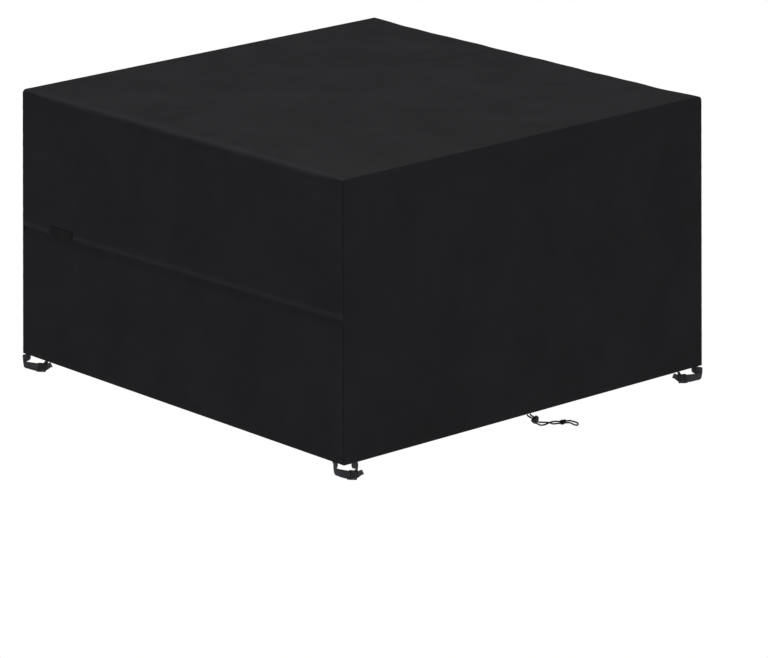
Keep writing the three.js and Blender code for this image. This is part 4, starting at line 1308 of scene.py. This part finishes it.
# %% [markdown]
# The cloth's mottling comes from slight differences in how the coated cloth has creased and relaxed.
# A second group gives a soft cloudy mask with larger and smaller patches, and every finish uses it
# with its own scale.

# %% The cloudy-patches group
clouds, w, given, outlet = new_group("cloudy_patches", "Patches", Vector="Vector", Scale="Float")
broad = w.noise(given["Vector"], w.math("MULTIPLY", given["Scale"], 1.0), 2.0)
fine = w.noise(given["Vector"], w.math("MULTIPLY", given["Scale"], 4.3), 3.0)
w.feed(outlet, w.math("ADD", w.math("MULTIPLY", broad, 0.65), w.math("MULTIPLY", fine, 0.35)))


def cloudy(w, scale, low, high):
    """The patches over a piece, spread from black to white between two levels."""
    here = w.add("ShaderNodeTexCoord").outputs["Object"]
    patchy = w.add("ShaderNodeGroup", {"Vector": here, "Scale": scale}, node_tree=clouds)
    return w.ramp(patchy.outputs["Patches"], low, high)


# %% Woven finish
def woven(name, dark, light, thread, slant, patch_scale, rough, spec, lift):
    """A woven material; dark and light are its colours in the patches' troughs and peaks."""
    material, w = new_material(name)
    cloth_map = w.add("ShaderNodeUVMap", uv_map="Cloth").outputs[0]
    threads = w.add("ShaderNodeGroup", {"Vector": cloth_map, "Thread": thread * MM, "Slant": slant},
                    node_tree=weave).outputs["Height"]
    patch = cloudy(w, patch_scale, 0.38, 0.62)
    # The mesh attribute of painted light lifts the colour towards 2.2 times the light colour: a painted
    # highlight on the fold and painted light on the lapped strip.
    painted_lightening = w.math("MULTIPLY", w.add("ShaderNodeAttribute", attribute_name="PaintedLight").outputs["Fac"], 0.5)
    colour = w.mix(painted_lightening, w.mix(patch, dark, light), tuple(2.2 * part for part in light))
    # Where the threads dip, the colour is multiplied down to 0.72: painted shade in the gaps of the
    # weave.
    w.surface({
        "Base Color": w.mix(1.0, colour, w.ramp(threads, 0.0, 0.7, 0.72, 1.0), "MULTIPLY"),
        "Roughness": w.ramp(patch, 0.0, 1.0, rough + 0.04, rough - 0.04),
        "Specular IOR Level": spec,
        "Normal": w.bump(threads, lift, thread * MM * 0.4),
    })
    return material


# the dark and the light colour, thread size in millimetres, slant, patches to the metre, roughness,
# specular level and the strength of the relief
cover_cloth = woven("cover_cloth", (0.0186, 0.0186, 0.0212), (0.0219, 0.0219, 0.0249),
                    0.6, 0.0, 5.0, 0.55, 0.10, 0.35)
ribbon = woven("label_ribbon", (0.013, 0.013, 0.015), (0.017, 0.017, 0.019),
               0.35, 0.0, 20.0, 0.45, 0.15, 0.4)
belt = woven("strap_webbing", (0.048, 0.048, 0.058), (0.072, 0.072, 0.084),
             1.3, 1.0, 40.0, 0.6, 0.3, 0.8)
braid = woven("cord_braid", (0.014, 0.014, 0.015), (0.024, 0.024, 0.026),
              1.05, 1.0, 60.0, 0.55, 0.3, 0.9)
thread = woven("sewing_thread", (0.016, 0.016, 0.017), (0.022, 0.022, 0.024),
               0.4, 0.6, 60.0, 0.5, 0.3, 0.3)

# %% [markdown]
# The mouldings are black acetal: satin, with a very fine spark-eroded grain, and cloudy patches that
# are a shade lighter and smoother, as handled plastic has.

# %% Moulded plastic
plastic, w = new_material("black_acetal")
patch = cloudy(w, 90.0, 0.35, 0.65)
grain = w.noise(w.add("ShaderNodeTexCoord").outputs["Object"], 5200.0, 2.0, 0.55)
w.surface({
    "Base Color": w.mix(patch, (0.024, 0.024, 0.029), (0.036, 0.036, 0.042)),
    "Roughness": w.ramp(patch, 0.0, 1.0, 0.43, 0.33),
    "Normal": w.bump(grain, 0.25, 0.00008),
})
print("materials:", len(bpy.data.materials))

# %% [markdown]
# ## Who stands for what
#
# Each finished piece gets its material, hides the piece of the frame that it stands for, if there is
# one, and rides on the one body that the cover is.

# %% Hand over the pieces


def finish_piece(piece, material, record_slot, *nodes):
    piece.data.materials.clear()
    piece.data.materials.append(material)
    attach(piece, "root")
    if nodes:
        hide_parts(*nodes)


for piece, node in ((bridge_cloth, "bridge_panel"), (lower_cloth, "lower_panel"),
                    (front_cloth, "end_panel_front"), (back_cloth, "end_panel_back")):
    finish_piece(piece, cover_cloth, "cover_cloth", node)
finish_piece(label_ribbon, ribbon, "label_ribbon", "side_label")
for piece in (join_stitches, hem_stitches, label_stitches):
    finish_piece(piece, thread, "cover_cloth")
for piece, node in webbings:
    finish_piece(piece, belt, "webbing", node)
for piece, node in buckle_pieces:
    finish_piece(piece, plastic, "buckle_plastic", node)
finish_piece(barrel, plastic, "buckle_plastic", "cord_lock_barrel")
finish_piece(plunger, plastic, "buckle_plastic", "cord_lock_plunger")
finish_piece(cord_piece, braid, "braided_cord", "drawcord")
finish_piece(knot_piece, braid, "braided_cord", "drawcord_knot")

# %% [markdown]
# ## The studio
#
# A plain white floor and a soft even room light keep the dark cloth readable. One broad light stands
# high behind the cover: it grazes the top and the soft fold, which is what makes a matt coated cloth
# show its gentle mottling. Another broad light in front lifts both sides alike.

# %% Floor, world and lights
bpy.ops.object.select_all(action="DESELECT")
bpy.ops.mesh.primitive_plane_add(size=60, location=(0, 0, FLOOR * MM))
floor = bpy.context.object
floor.name = "studio_floor"
floor_finish, w = new_material("studio_floor")
w.surface({"Base Color": (0, 0, 0), "Roughness": 0.9, "Specular IOR Level": 0.0,
           "Emission Color": (1, 1, 1), "Emission Strength": 1.0})
floor.data.materials.append(floor_finish)
floor.visible_glossy = False

world = bpy.data.worlds.new("studio")
world.use_nodes = True
world.node_tree.nodes["Background"].inputs["Color"].default_value = (1, 1, 1, 1)
world.node_tree.nodes["Background"].inputs["Strength"].default_value = 0.14
bpy.context.scene.world = world


def soft_light(name, place, aim, size, power):
    light = bpy.data.lights.new(name, "AREA")
    light.shape, light.size, light.energy = "SQUARE", size, power
    lamp = bpy.data.objects.new(name, light)
    lamp.location = place
    lamp.rotation_euler = (Vector(aim) - Vector(place)).to_track_quat("-Z", "Y").to_euler()
    bpy.context.scene.collection.objects.link(lamp)


soft_light("above", (0.5, 0.5, 4.6), (0, 0, 0), 3.4, 122)
soft_light("behind", (-2.3, 2.7, 3.5), (0, 0, 0), 3.0, 22)
soft_light("front", (2.5, -4.9, 2.6), (0, 0, -0.35), 3.2, 27)
bpy.context.scene.view_settings.view_transform = "Standard"
